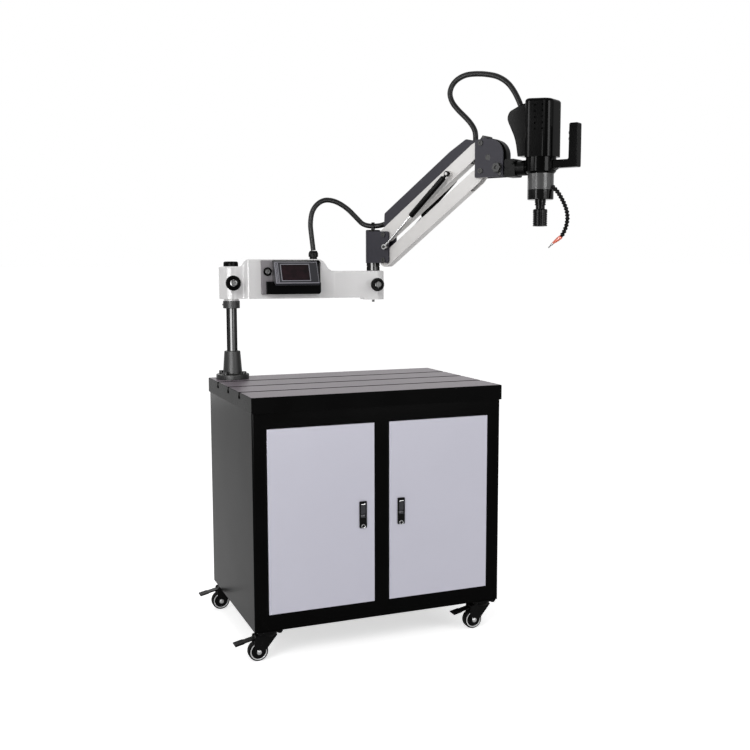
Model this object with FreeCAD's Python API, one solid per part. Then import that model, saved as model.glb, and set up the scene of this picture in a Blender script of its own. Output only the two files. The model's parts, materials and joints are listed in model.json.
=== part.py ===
import FreeCAD, Part
import math
import os

# Arm tapping machine: a wheeled two-door cabinet with a T-slotted table, a column, a
# swivelling cast arm, a parallel-link lifting arm and a tilting, rolling tapping head.
# Millimetres, +Z up. The origin is on the floor under the middle of the table.
# Every part of an arm is drawn in that arm's own frame: x runs along the arm from its
# swivel axis, -y is the operator's side and z is the height above the table top.

# table
table_height = 684.0
table_length = 700.0
table_depth = 480.0
table_thickness = 40.0
table_bevel = 1.5
slot_pitch = 120.0
slot_count = 3
slot_mouth = 12.0
slot_lip = 9.0
slot_foot = 20.0
slot_foot_height = 8.0

# cabinet and doors
cabinet_side_inset = 2.0
cabinet_end_inset = 5.0
cabinet_bottom = 81.0
cabinet_fold = 5.0
sheet = 2.0
frame_depth = 22.0
door_stile = 38.0
door_top_rail = 42.0
door_bottom = 124.0
door_thickness = 18.0
door_gap = 1.5
door_fold = 1.5
door_skin = 2.0
centre_post = 42.0
pivot_inset = 4.0
pivot_radius = 2.5
pivot_reach = 9.0
pivot_block = 14.0
turning_clearance = 0.1
shelf_share = 0.469
shelf_rail = 12.0

# door lock
lock_width = 20.0
lock_height = 71.0
lock_centre_drop = 1.5
lock_corner = 2.0
lock_post_gap = 33.0
lock_proud = 3.0
lock_body_depth = 12.0
lock_body_inset = 3.0
lever_width = 13.0
lever_length = 36.0
lever_thickness = 4.0
lever_drop = 8.0
lever_side_room = 0.5
lever_end_room = 1.5
lever_top_room = 3.5
lever_pin = 0.9
lever_pin_play = 0.05
lever_pin_reach = 1.4
lever_finger = 10.0
lever_finger_depth = 2.5
lever_finger_rise = 7.0
key_radius = 5.5
key_proud = 0.8
key_slot = 1.4
key_slot_length = 6.0
key_slot_depth = 2.3
key_drop = 24.0
cam_corner = 3.0
cam_length = 26.0
cam_width = 11.0
cam_thickness = 2.0
cam_stand_off = 8.0

# casters
caster_end_inset = 40.0
caster_side_inset = 26.0
caster_trail = 27.0
wheel_radius = 26.0
wheel_width = 22.0
tread_round = 4.0
wheel_groove_outer = 22.5
wheel_groove_inner = 19.5
wheel_groove_depth = 1.2
wheel_hub_radius = 9.0
axle_radius = 4.0
axle_cap_radius = 6.0
axle_cap = 2.0
plate_length = 68.0
plate_width = 58.0
plate_corner = 6.0
plate_thickness = 3.0
plate_bolt_x = 26.0
plate_bolt_y = 21.5
plate_bolt_radius = 3.0
plate_nut_radius = 5.5
plate_nut = 4.0
plate_bolt_end = 3.0
king_pin_radius = 5.0
king_head_radius = 9.0
king_head = 3.5
swivel_gap = 0.3
race_radius = 24.0
race_height = 11.9
race_bevel = 3.0
race_lip = 2.0
head_room = 2.0
cheek_gap = 1.5
cheek_thickness = 3.0
cheek_lap = 4.0
cheek_front = 11.0
cheek_back = 12.0
cheek_below = 8.0
cheek_round = 8.0
cheek_ear = 7.0
cheek_ear_rise = 5.0
pedal_pivot_x = -31.0
pedal_pivot_height = 61.5
pedal_pin_radius = 2.5
pedal_hub_radius = 5.0
pedal_width = 21.0
pedal_pad_width = 27.0
pedal_pad_start = -64.0
pedal_tip_x = -89.0
pedal_tip_height = 49.0
pedal_thickness = 3.5
pedal_rib = 1.2
pedal_rib_count = 5
shoe_near = 3.0
shoe_far = 14.0
shoe_lean = 2.0
shoe_drop = 8.0
shoe_inset = 3.0

# column
column_end_inset = 60.0
column_back_inset = 48.0
column_radius = 15.0
column_top = 317.0
flange_radius = 47.0
flange_thickness = 14.0
flange_bevel = 2.0
flange_neck_radius = 27.5
flange_neck_top_radius = 22.75
flange_neck_top = 80.0
flange_hole_play = 0.4
column_bevel = 1.5
flange_bolt_circle = 38.0
flange_bolt_radius = 4.0
flange_bolt_head_radius = 6.5
flange_bolt_head = 8.0
flange_bolt_reach = 20.0
flange_bolt_count = 4
socket_across = 3.0
collar_radius = 24.0
collar_bottom = 202.0
collar_top = 223.0
collar_slit = 2.0
collar_screw_radius = 3.0
collar_turn = 135.0

# first arm
arm_1_angle = -6.5
arm_1_length = 420.0
hub_radius = 35.0
hub_bottom = 229.0
hub_top = 321.0
hub_foot_radius = 22.0
bush_clearance = 0.05
bulge_start = 42.0
bulge_end = 250.0
bulge_half_width = 42.0
bulge_top = 341.0
slim_start = 290.0
slim_half_width = 31.0
slim_top = 307.0
elbow_end_radius = 31.5
elbow_end_bottom = 223.0
casting_round = 4.0
hub_run = 24.0
hub_round = 7.0
crown_start = 37.0
crown_round = 14.0
step_round = 27.0
step_run = 8.0
flare_run = 10.0
boss_run = 6.0
crown_edge = 60.0
cavity_start = 92.0
cavity_end = 244.0
cavity_bottom = 250.0
cavity_wall = 7.0
cap_radius = 21.0
cap_height = 14.0
cap_round = 4.0
cap_recess = 3.0
knob_height = 274.5
elbow_knob_height = 267.0
knob_boss_radius = 17.0
knob_seat = 44.0
elbow_knob_seat = 41.0
knob_gap = 0.4
knob_ring_radius = 21.5
knob_ring_front = 57.0
elbow_ring_radius = 19.5
elbow_ring_front = 56.0
knob_centre_radius = 13.0
knob_centre_proud = 3.0
knob_shaft_radius = 5.0
knob_shaft_gap = 0.5
grip_notches = 12
grip_notch_radius = 2.0
grip_bevel = 3.0
core_bevel = 2.0
core_slot = 2.4
core_slot_depth = 1.5

# control panel on the first arm
panel_start = 79.0
panel_end = 250.0
panel_bottom = 242.0
panel_top = 338.0
panel_plate = 8.0
panel_corner = 4.0
window_margin = 6.0
window_top_margin = 10.0
lower_box_start = 92.0
lower_box_top = 278.0
lower_box_front = 62.0
screen_box_start = 112.0
screen_box_end = 237.0
screen_box_top = 336.0
screen_lip_lateral = 63.0
screen_lip_height = 333.5
screen_foot_lateral = 99.5
screen_foot_height = 273.5
screen_chin = 6.0
screen_centre = 171.5
screen_width = 78.0
screen_height = 50.0
screen_depth = 2.0
screen_thickness = 1.6
screen_corner = 2.0
screen_round = 2.0
screen_wall = 5.0
screen_roof = 6.0
screen_fit = 0.1
switch_a = 97.0
switch_height = 306.0
switch_ring_radius = 12.0
switch_ring = 5.0
switch_knob_radius = 8.0
switch_knob = 12.0
switch_stem_radius = 3.0
switch_ring_gap = 0.5
switch_lift = 0.3
switch_bevel = 1.5
switch_slot = 2.0
gland_a = 240.0
gland_neck_radius = 11.0
gland_dome_radius = 14.0
gland_neck = 6.0
gland_dome = 18.0
gland_bore = 8.0
gland_skirt = 11.0
gland_tip = 3.0
gland_rib_count = 8
gland_rib = 1.6
gland_rib_depth = 1.0
gland_rib_foot = 8.0
gland_rib_length = 9.0

# elbow and its bracket
arm_2_angle = -58.0
post_radius = 19.3
post_top = 329.5
post_groove_height = 318.0
post_groove = 1.5
journal_radius = 14.0
journal_bottom = 232.0
thrust_gap = 0.3
retainer_radius = 4.0
retainer_drop = 8.0
post_spigot_radius = 12.0
post_spigot = 40.0
barrel_radius = 21.6
barrel_top = 426.0
barrel_bevel = 2.0
bracket_plate_top = 420.5
bracket_reach = 70.0
bracket_corner = 6.0
plate_inner = 16.0
bracket_plate = 6.0
link_root_a = 53.0
link_spacing = 73.4
lower_pin_height = 337.6
pin_radius = 5.0
pin_clearance = 0.05
pin_head_radius = 7.5
pin_head = 3.0
pin_key = 3.2
side_washer = 9.0
side_clearance = 0.2
clip_inner = 8.4
clip_wall = 2.5
clip_width = 8.0
clip_height = 437.5

# lifting links
lift_angle = 36.5
link_length = 400.0
link_half_height = 19.0
link_half_width = 13.5
link_wall = 3.0
link_end_solid = 24.0
link_tongue = 10.0
link_shoulder = 6.0
link_taper_start = 25.0
slot_under = 62.0
slot_over = 40.0
cover_half_width = 14.0
cover_wall = 2.5
cover_start = 10.0
cover_rise = 35.0
cover_root_height = 50.0
cover_root_round = 8.0
cover_crown = 60.0
cover_shoulder_round = 10.0
cover_height = 48.0
cover_shoulder = 368.0
cover_shoulder_height = 42.0
cover_end = 388.0
cover_mouth_radius = 9.8
cover_mouth_u = 13.0
cover_mouth_w = 31.5
cover_mouth_reach = 10.0
cover_exit_radius = 8.8
cover_exit_u = 377.2
cover_exit_w = 18.5

# gas springs
spring_lateral = 31.0
spring_foot_a = 63.0
spring_foot_height = 376.0
spring_stud_u = 274.0
spring_stud_w = -2.0
spring_stud_radius = 4.0
stud_collar_radius = 6.0
stud_foot_radius = 8.0
stud_end = 2.5
spring_eye_radius = 7.5
spring_eye_width = 8.0
spring_rod_radius = 3.0
spring_rod_length = 185.0
spring_cylinder_radius = 8.0
spring_bore = 6.6
spring_cylinder_start = 15.0
spring_cylinder_end = 163.0
spring_neck_radius = 3.8
spring_neck = 17.5
spring_cap = 2.0

# wrist bracket
wrist_left = 357.0
wrist_right = 442.5
wrist_bottom = 558.0
wrist_top = 659.0
wrist_round = 45.0
wrist_corner = 3.0
tilt_a = 397.0
tilt_height = 610.0
tilt_pin_radius = 8.0
disc_radius = 50.0
disc_half = 8.0
disc_slot_radius = 42.5
disc_slot = 5.0
clamp_a = 428.0
clamp_height = 581.0
clamp_bolt_radius = 4.2
clamp_knob_radius = 13.0
clamp_knob = 11.0
clamp_skirt = 3.0
clamp_cup_radius = 5.0
clamp_nut_radius = 7.0
clamp_nut = 6.0
spacer_a = 435.0
spacer_height = 564.5
spacer_radius = 3.0
spacer_head_radius = 4.4
spacer_head = 2.5
spacer_wall = 2.0
tie_a = 382.0
tie_clearance = 1.5
tie_radius = 4.5
tie_ear = 8.0
stub_end = 9.5

# tilt arm
block_start = 446.5
block_end = 478.0
block_bottom = 555.0
block_top = 602.0
block_half_width = 21.0
block_corner = 5.0
neck_bottom = 573.0
neck_top = 602.0
roll_height = 578.0
roll_boss_radius = 20.0
roll_pad_radius = 18.0
roll_boss_end = 503.0
roll_bore_depth = 34.0
roll_pin_radius = 12.0
roll_gap = 0.4
roll_lock_a = 474.0
roll_lock_height = 591.0
roll_lock_radius = 3.5
roll_lock_depth = 14.0
plunger_nut = 4.0
plunger_tip = 7.0

# tapping head
spindle_a = 543.5
clamp_ring_radius = 39.5
clamp_ring_bottom = 560.4
clamp_ring_top = 602.0
clamp_ring_chamfer = 5.0
housing_radius = 34.0
housing_bottom = 518.6
housing_bore = 16.0
nose_bottom = 493.0
nose_bevel = 2.0
nose_screw_circle = 25.0
nose_screw_count = 3
nose_screw_radius = 2.6
nose_screw_depth = 5.0
cover_centre_a = 547.0
cover_half_length = 39.5
cover_half_depth = 40.0
cover_corner = 22.0
cover_bottom = 602.0
cover_front_top = 752.0
cover_outer_top = 747.0
cover_shell = 3.0
cover_top_round = 8.0
vent_radius = 2.6
vent_pitch = 15.0
vent_rows = 5
vent_columns = 2
vent_spacing = 21.0
vent_top = 731.0
vent_offset = -10.0
motor_half = 27.0
motor_corner = 6.0
motor_flange_radius = 30.0
motor_bore = 8.0
motor_bore_depth = 20.0
motor_shaft_radius = 7.5
motor_shaft = 14.0
motor_height = 118.0
motor_bottom = 606.0
fin_half_width = 21.0
fin_foot_a = 483.5
fin_foot_height = 607.0
fin_waist_a = 476.0
fin_waist_height = 655.0
fin_waist_round = 45.0
fin_belly_a = 451.5
fin_belly_height = 706.0
fin_belly_round = 10.0
fin_shoulder_a = 458.0
fin_shoulder_height = 724.5
fin_shoulder_round = 10.0
fin_top_a = 497.5
fin_top_height = 741.5
fin_top_round = 6.0
fin_side_round = 6.0
fin_wall = 3.0
fin_pocket = 14.0
fin_pocket_top = 20.0
handle_root_a = 582.0
handle_bar_bottom = 572.0
handle_bar_top = 593.0
handle_end_a = 651.0
handle_grip_a = 625.5
handle_top = 683.0
handle_half_width = 12.0
handle_gusset = 9.0
handle_gusset_drop = 5.0
handle_seat_margin = 3.0
handle_corner = 4.0
handle_edge_round = 2.5
button_radius = 5.0
button_proud = 3.5
button_depth = 8.0
start_button_height = 659.5
reverse_button_height = 644.0
button_cup = 4.0
spindle_radius = 14.4
spindle_top = 600.0
spindle_socket_radius = 9.5
spindle_socket_depth = 36.0
spindle_bottom = 427.0
spindle_nose_radius = 12.0
spindle_groove = 1.6
spindle_ring_drop = 6.0
sleeve_radius = 18.8
sleeve_top = 469.0
sleeve_bottom = 424.6
sleeve_clearance = 0.08
sleeve_rib_count = 6
sleeve_rib_depth = 1.0
sleeve_plain = 10.0
sleeve_bevel = 2.0
sleeve_flute_offset = 0.8
sleeve_stop_gap = 10.0

# coolant line, in the second arm's frame: distance along the arm and height
coolant_route = [(577, 527), (592, 513), (603, 497), (612, 481), (619, 464), (622, 446),
                 (620, 428), (614, 411), (606, 398)]
coolant_ball_radius = 5.6
coolant_waist_radius = 4.0
coolant_steps = 17
coolant_lap = 0.8
ball_start = 0.25
ball_end = 0.62
nozzle_root = (604.0, 396.0)
nozzle_shoulder = (589.0, 385.5)
nozzle_tip = (582.0, 380.5)
coolant_tip = (569.0, 368.5)
nozzle_radius = 5.2
nozzle_end_radius = 3.6
nozzle_cone = 8.0
coolant_tip_radius = 1.4

# hoses: (arm frame x, y, height above the table top)
hose_radius = 7.5
hose_joint = 0.4
hose_socket_play = 0.6
clip_turn = math.radians(arm_1_angle - arm_2_angle) / 2
clip_cos = math.cos(clip_turn)
clip_sin = math.sin(clip_turn)
clip_lead = 26.0
clip_follow = 16.0
elbow_hose_route = [(240, 0, 366), (235, 0, 408), (231, 0, 446), (239, 0, 486), (268, 0, 512),
                    (304, 1, 510), (341, 3, 490), (372, 8, 461),
                    (arm_1_length - clip_lead * clip_cos, clip_lead * clip_sin, clip_height),
                    (arm_1_length - hose_joint * clip_cos, hose_joint * clip_sin, clip_height)]
cover_hose_route = [(hose_joint * clip_cos, hose_joint * clip_sin, clip_height),
                    (clip_follow * clip_cos, clip_follow * clip_sin, clip_height),
                    (36, 5, 441), (54, 0, 445.5)]
bow_hose_route = [(346, 0, 655), (347, 0, 676), (340, 0, 694), (326, 0, 712), (308, 0, 729),
                  (288, 0, 747), (269, 0, 769), (261, 0, 795), (274, 0, 820), (300, 0, 834),
                  (331, 0, 838), (362 - hose_joint, 0, 834)]
motor_hose_route = [(362 + hose_joint, 0, 834), (392, 0, 829), (421, 0, 818), (446, 0, 800),
                    (464, 0, 776), (477, 0, 752), (488, 0, 727)]

full_turn = 360.0
quarter = 90.0
half = 0.5
reach = 1000.0
bend_share = 0.45
bevel_share = 0.3
round_rest = 0.1
tiny = 1e-3
key_share = 0.75

up = FreeCAD.Vector(0, 0, 1)
down = FreeCAD.Vector(0, 0, -1)
along = FreeCAD.Vector(1, 0, 0)
inward = FreeCAD.Vector(0, 1, 0)
outward = FreeCAD.Vector(0, -1, 0)
origin = FreeCAD.Vector(0, 0, 0)

lift = math.radians(lift_angle)
plate_outer = plate_inner + bracket_plate
upper_pin_height = lower_pin_height + link_spacing
wrist_a = link_root_a + link_length * math.cos(lift)
link_rise = link_length * math.sin(lift)
column_x = column_end_inset - table_length * half
column_y = table_depth * half - column_back_inset
elbow_x = column_x + arm_1_length * math.cos(math.radians(arm_1_angle))
elbow_y = column_y + arm_1_length * math.sin(math.radians(arm_1_angle))
front_y = -(table_depth * half - cabinet_end_inset)
cabinet_half = table_length * half - cabinet_side_inset
cabinet_top = table_height - table_thickness
door_width = cabinet_half - door_stile - centre_post * half
door_height = cabinet_top - door_top_rail - door_bottom
lock_centre_height = door_bottom + door_height * half - lock_centre_drop
shelf_height = cabinet_bottom + (cabinet_top - cabinet_bottom) * shelf_share
caster_x = cabinet_half - caster_end_inset
caster_y = -front_y - caster_side_inset
tie_height = tilt_height + math.sqrt((disc_radius + tie_radius + tie_clearance) ** 2
                                     - (tilt_a - tie_a) ** 2)


def vec(x, y, z):
    return FreeCAD.Vector(x, y, z)


def box(x0, x1, y0, y1, z0, z1):
    low = vec(min(x0, x1), min(y0, y1), min(z0, z1))
    return Part.makeBox(abs(x1 - x0), abs(y1 - y0), abs(z1 - z0), low)


def rod(radius, start, direction, length):
    return Part.makeCylinder(radius, length, start, direction)


def cross_rod(radius, x, z, y0, y1):
    return Part.makeCylinder(radius, abs(y1 - y0), vec(x, min(y0, y1), z), inward)


def tube(outer, inner, start, direction, length):
    return rod(outer, start, direction, length).cut(rod(inner, start, direction, length))


def rounded_wire(corners):
    """Closed wire through corners (point, radius), each corner an arc tangent to its sides."""
    count = len(corners)
    ends = []
    for i, (point, radius) in enumerate(corners):
        back = (corners[i - 1][0] - point).normalize()
        ahead = (corners[(i + 1) % count][0] - point).normalize()
        turn = math.pi - back.getAngle(ahead)
        if radius <= 0 or turn < 1e-4:
            ends.append((point, None, point))
            continue
        set_back = radius * math.tan(turn * half)
        first = point + back * set_back
        last = point + ahead * set_back
        bisector = (back + ahead).normalize()
        middle = point + bisector * (radius / math.cos(turn * half) - radius)
        ends.append((first, middle, last))
    edges = []
    for i, (first, middle, last) in enumerate(ends):
        if middle is not None:
            edges.append(Part.Arc(first, middle, last).toShape())
        following = ends[(i + 1) % count][0]
        if last.distanceToPoint(following) > 1e-6:
            edges.append(Part.LineSegment(last, following).toShape())
    return Part.Wire(edges)


def side_slab(corners, y0, y1):
    """Side outline (x, z, corner radius) carried across from y0 to y1."""
    wire = rounded_wire([(vec(x, y0, z), r) for x, z, r in corners])
    return Part.Face(wire).extrude(vec(0, y1 - y0, 0))


def plan_slab(corners, z0, z1):
    """Plan outline (x, y, corner radius) raised from z0 to z1."""
    wire = rounded_wire([(vec(x, y, z0), r) for x, y, r in corners])
    return Part.Face(wire).extrude(vec(0, 0, z1 - z0))


def end_slab(corners, x0, x1):
    """End outline (y, z, corner radius) carried along from x0 to x1."""
    wire = rounded_wire([(vec(x0, y, z), r) for y, z, r in corners])
    return Part.Face(wire).extrude(vec(x1 - x0, 0, 0))


def rectangle(u0, u1, v0, v1, corner):
    return [(u0, v0, corner), (u1, v0, corner), (u1, v1, corner), (u0, v1, corner)]


def turned(profile):
    """Solid of revolution about Z of a closed (radius, height) profile."""
    points = [vec(r, 0, z) for r, z in profile]
    wire = Part.makePolygon(points + points[:1])
    return Part.Face(wire).revolve(origin, up, full_turn)


def aimed(shape, place, direction):
    """Turns a shape drawn along +Z to a direction and sets its origin at a place."""
    shape = shape.copy()
    shape.Placement = FreeCAD.Placement(place, FreeCAD.Rotation(up, direction))
    return shape


def softened(body, edges, radius):
    """Rounds edges by the radius, or by a half or a quarter of it where they leave no room."""
    for share in (1, half, half * half):
        try:
            rounded = body.makeFillet(radius * share, edges)
        except Exception:
            continue
        if rounded.isValid() and len(rounded.Solids) == 1:
            return rounded
    print("left sharp")
    return body


def joined(shapes):
    result = shapes[0]
    if len(shapes) > 1:
        result = result.fuse(shapes[1:])
    return result.removeSplitter()


def group(shapes):
    """Several separate solids kept as one node."""
    return Part.makeCompound([s for shape in shapes for s in shape.Solids])


def hex_prism(radius, start, direction, length):
    """Hexagon bar whose flats stand the given radius from its axis."""
    corner = radius / math.cos(math.pi / 6)
    points = [vec(corner * math.cos(math.pi / 3 * i), corner * math.sin(math.pi / 3 * i), 0)
              for i in range(6)]
    bar = Part.Face(Part.makePolygon(points + points[:1])).extrude(vec(0, 0, length))
    return aimed(bar, start, direction)


def socket_screw(shank, shank_length, head, head_length, seat, direction):
    """Cap screw whose head stands along direction from its seat and whose shank runs back."""
    top = rod(head, seat, direction, head_length)
    key = hex_prism(shank * key_share, seat + direction * (head_length * half), direction, head_length)
    stem = rod(shank, seat - direction * shank_length, direction, shank_length)
    return joined([top.cut(key), stem])


def moved(shape, x=0.0, y=0.0, z=0.0):
    shape = shape.copy()
    shape.translate(vec(x, y, z))
    return shape


def mirrored_y(shape):
    return shape.mirror(origin, inward)


def both_sides(shape):
    return [shape, mirrored_y(shape)]


def place_arm_1(shape):
    shape = shape.copy()
    shape.rotate(origin, up, arm_1_angle)
    shape.translate(vec(column_x, column_y, table_height))
    return shape


def place_arm_2(shape):
    shape = shape.copy()
    shape.rotate(origin, up, arm_2_angle)
    shape.translate(vec(elbow_x, elbow_y, table_height))
    return shape


def place_link(shape, root_height):
    """From a link's own frame, x along it from its elbow pin, into the second arm's frame."""
    shape = shape.copy()
    shape.rotate(origin, inward, -lift_angle)
    shape.translate(vec(link_root_a, 0, root_height))
    return shape


def write(name, shape):
    solids = shape.Solids
    result = solids[0] if len(solids) == 1 else Part.makeCompound(solids)
    if not result.isValid():
        print("NOT VALID", name)
    result.exportStep("parts/" + name + ".step")


# cabinet and table

def opening_x(side):
    inner = centre_post * half - door_gap
    outer = centre_post * half + door_width + door_gap
    return (side * inner, side * outer)


def pivot_x(side):
    return side * (centre_post * half + door_width - pivot_inset)


def cabinet_carcass():
    back_y = -front_y
    corners = rectangle(-cabinet_half, cabinet_half, front_y, back_y, cabinet_fold)
    body = plan_slab(corners, cabinet_bottom, cabinet_top)
    room = box(-cabinet_half + sheet, cabinet_half - sheet, front_y + frame_depth,
               back_y - sheet, cabinet_bottom + sheet, cabinet_top - sheet)
    body = body.cut(room)
    low = door_bottom - door_gap
    high = door_bottom + door_height + door_gap
    for side in (-1, 1):
        x0, x1 = opening_x(side)
        body = body.cut(box(x0, x1, front_y - 1, front_y + frame_depth + 1, low, high))
        rail_x = side * (cabinet_half - sheet)
        rail = side_slab([(rail_x, shelf_height, 0), (rail_x - side * shelf_rail, shelf_height, 0),
                          (rail_x - side * shelf_rail, shelf_height - sheet, 0),
                          (rail_x - side * sheet, shelf_height - sheet, 0),
                          (rail_x - side * sheet, shelf_height - shelf_rail, 0),
                          (rail_x, shelf_height - shelf_rail, 0)],
                         front_y + frame_depth + shelf_rail, back_y - sheet)
        body = joined([body, rail])
        for end in (-1, 1):
            for x, y in plate_bolts(side, end):
                body = body.cut(rod(plate_bolt_radius, vec(x, y, cabinet_bottom - 1), up,
                                    1 + sheet + plate_bolt_end))
    return joined([body] + door_pivots())


def slot_cutter(y):
    mouth_bottom = table_height - slot_lip
    foot_bottom = mouth_bottom - slot_foot_height
    mouth = box(-reach, reach, y - slot_mouth * half, y + slot_mouth * half, mouth_bottom - 1,
                table_height + 1)
    foot = box(-reach, reach, y - slot_foot * half, y + slot_foot * half, foot_bottom, mouth_bottom)
    return mouth.fuse(foot)


def t_slot_table():
    half_length = table_length * half
    half_depth = table_depth * half
    slab = box(-half_length, half_length, -half_depth, half_depth, cabinet_top, table_height)
    rim = [e for e in slab.Edges if e.BoundBox.ZMin > table_height - 1]
    slab = slab.makeChamfer(table_bevel, rim)
    for i in range(slot_count):
        slab = slab.cut(slot_cutter((i - 1) * slot_pitch))
    for x, y in flange_bolt_places():
        hole = rod(flange_bolt_radius, vec(x, y, table_height - flange_bolt_reach), up,
                   flange_bolt_reach + 1)
        slab = slab.cut(hole)
    return slab


def door_pivots():
    """Four pins, above and below each opening, that the doors turn on."""
    pins = []
    for side in (-1, 1):
        for edge, way in ((door_bottom, 1), (door_bottom + door_height, -1)):
            start = vec(pivot_x(side), front_y + pivot_inset, edge - way * (door_gap + pivot_reach))
            pins.append(rod(pivot_radius, start, up * way, 2 * pivot_reach + door_gap))
    return pins


def door_corners(side):
    inner = side * centre_post * half
    outer = side * (centre_post * half + door_width)
    back = front_y + door_thickness
    return [(inner, front_y, door_fold), (outer, front_y, door_fold), (outer, back, door_fold),
            (inner, back, door_fold)]


def door(side):
    """Folded steel pan with solid pivot blocks in its two hinge corners."""
    top = door_bottom + door_height
    pan = plan_slab(door_corners(side), door_bottom, top)
    inner = side * (centre_post * half + door_skin)
    outer = side * (centre_post * half + door_width - door_skin)
    pocket = box(inner, outer, front_y + door_skin, front_y + door_thickness + 1,
                 door_bottom + door_skin, top - door_skin)
    for z0, z1 in ((door_bottom, door_bottom + pivot_block), (top - pivot_block, top)):
        pocket = pocket.cut(box(outer, outer - side * pivot_block, front_y,
                                front_y + door_thickness, z0, z1))
    pan = pan.cut(pocket)
    for edge, way in ((door_bottom, up), (top, down)):
        mouth = vec(pivot_x(side), front_y + pivot_inset, edge) - way
        pan = pan.cut(rod(pivot_radius + turning_clearance, mouth, way, pivot_reach + 2))
    x = lock_x(side)
    inset = lock_body_inset
    window = box(x - lock_width * half + inset, x + lock_width * half - inset, front_y - 1,
                 front_y + door_skin + 1, lock_centre_height - lock_height * half + inset,
                 lock_centre_height + lock_height * half - inset)
    return pan.cut(window)


def lock_x(side):
    return side * (centre_post * half + lock_post_gap)


def lock_housing(side):
    """Escutcheon standing proud of the door with a finger recess and a body behind it."""
    x = lock_x(side)
    z0 = lock_centre_height - lock_height * half
    z1 = lock_centre_height + lock_height * half
    face = front_y - lock_proud
    plate = side_slab(rectangle(x - lock_width * half, x + lock_width * half, z0, z1, lock_corner),
                      face, front_y)
    inset = lock_body_inset
    body = box(x - lock_width * half + inset, x + lock_width * half - inset, front_y,
               front_y + lock_body_depth, z0 + inset, z1 - inset)
    shape = joined([plate, body])
    lever_top = lever_pivot_height()
    well_half = lever_width * half + lever_side_room
    well = box(x - well_half, x + well_half, face - 1, front_y + lock_body_depth - lock_body_inset,
               lever_top - lever_length - lever_end_room, lever_top + lever_top_room)
    shape = shape.cut(well)
    hole_half = lever_width * half + lever_pin_reach + lever_pin_play
    pin_hole = rod(lever_pin + lever_pin_play, vec(x - hole_half, face + lever_thickness * half,
                                                   lever_top), along, 2 * hole_half)
    key_hole = cross_rod(key_radius, x, lock_centre_height - key_drop, face - 1,
                         front_y + lock_body_depth + 1)
    return group([shape.cut(pin_hole).cut(key_hole), key_cam(side)])


def lever_pivot_height():
    return lock_centre_height + lock_height * half - lever_drop


def lock_lever(side):
    """Flush pull lever that swings out about its pin at the top of the lock."""
    x = lock_x(side)
    top = lever_pivot_height()
    face = front_y - lock_proud
    blade = box(x - lever_width * half, x + lever_width * half, face, face + lever_thickness,
                top - lever_length, top)
    axis_y = face + lever_thickness * half
    knuckle = rod(lever_thickness * half, vec(x - lever_width * half, axis_y, top), along, lever_width)
    pin_half = lever_width * half + lever_pin_reach
    pin = rod(lever_pin, vec(x - pin_half, axis_y, top), along, 2 * pin_half)
    scoop = rod(lever_finger * half, vec(x - lever_width, face - lever_finger_depth,
                                         top - lever_length + lever_finger_rise),
                along, 2 * lever_width)
    return joined([blade, knuckle, pin]).cut(scoop)


def key_cam(side):
    """Key cylinder through the lock with the cam that turns behind the centre post."""
    x = lock_x(side)
    z = lock_centre_height - key_drop
    back = front_y + frame_depth + cam_stand_off
    face = front_y - lock_proud - key_proud
    barrel = cross_rod(key_radius, x, z, face, back)
    slot = box(x - key_slot * half, x + key_slot * half, face - 1, face + key_slot_depth,
               z - key_slot_length * half, z + key_slot_length * half)
    cam = side_slab(rectangle(x - cam_width * half, x + cam_width * half, z - cam_length,
                              z + cam_width * half, cam_corner), back - cam_thickness, back)
    return joined([barrel.cut(slot), cam])


# casters

def plate_bolts(side, end):
    x = side * caster_x
    y = end * caster_y
    return [(x + i * plate_bolt_x, y + j * plate_bolt_y) for i in (-1, 1) for j in (-1, 1)]


def caster_mount(side, end):
    """Top plate with its king pin and the four bolts that hold it to the cabinet."""
    x = side * caster_x
    y = end * caster_y
    bottom = cabinet_bottom - plate_thickness
    plate = plan_slab(rectangle(x - plate_length * half, x + plate_length * half,
                                y - plate_width * half, y + plate_width * half, plate_corner),
                      bottom, cabinet_bottom)
    fork_bottom = bottom - swivel_gap - race_height
    pin = rod(king_pin_radius, vec(x, y, bottom), down, race_height + 2 * swivel_gap + king_head)
    head = rod(king_head_radius, vec(x, y, fork_bottom - swivel_gap), down, king_head)
    pieces = [plate, pin, head]
    for bx, by in plate_bolts(side, end):
        pieces.append(hex_prism(plate_nut_radius, vec(bx, by, bottom), down, plate_nut))
        pieces.append(rod(plate_bolt_radius, vec(bx, by, bottom - plate_nut), up,
                          plate_nut + plate_thickness + sheet + plate_bolt_end))
    return joined(pieces)


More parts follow.
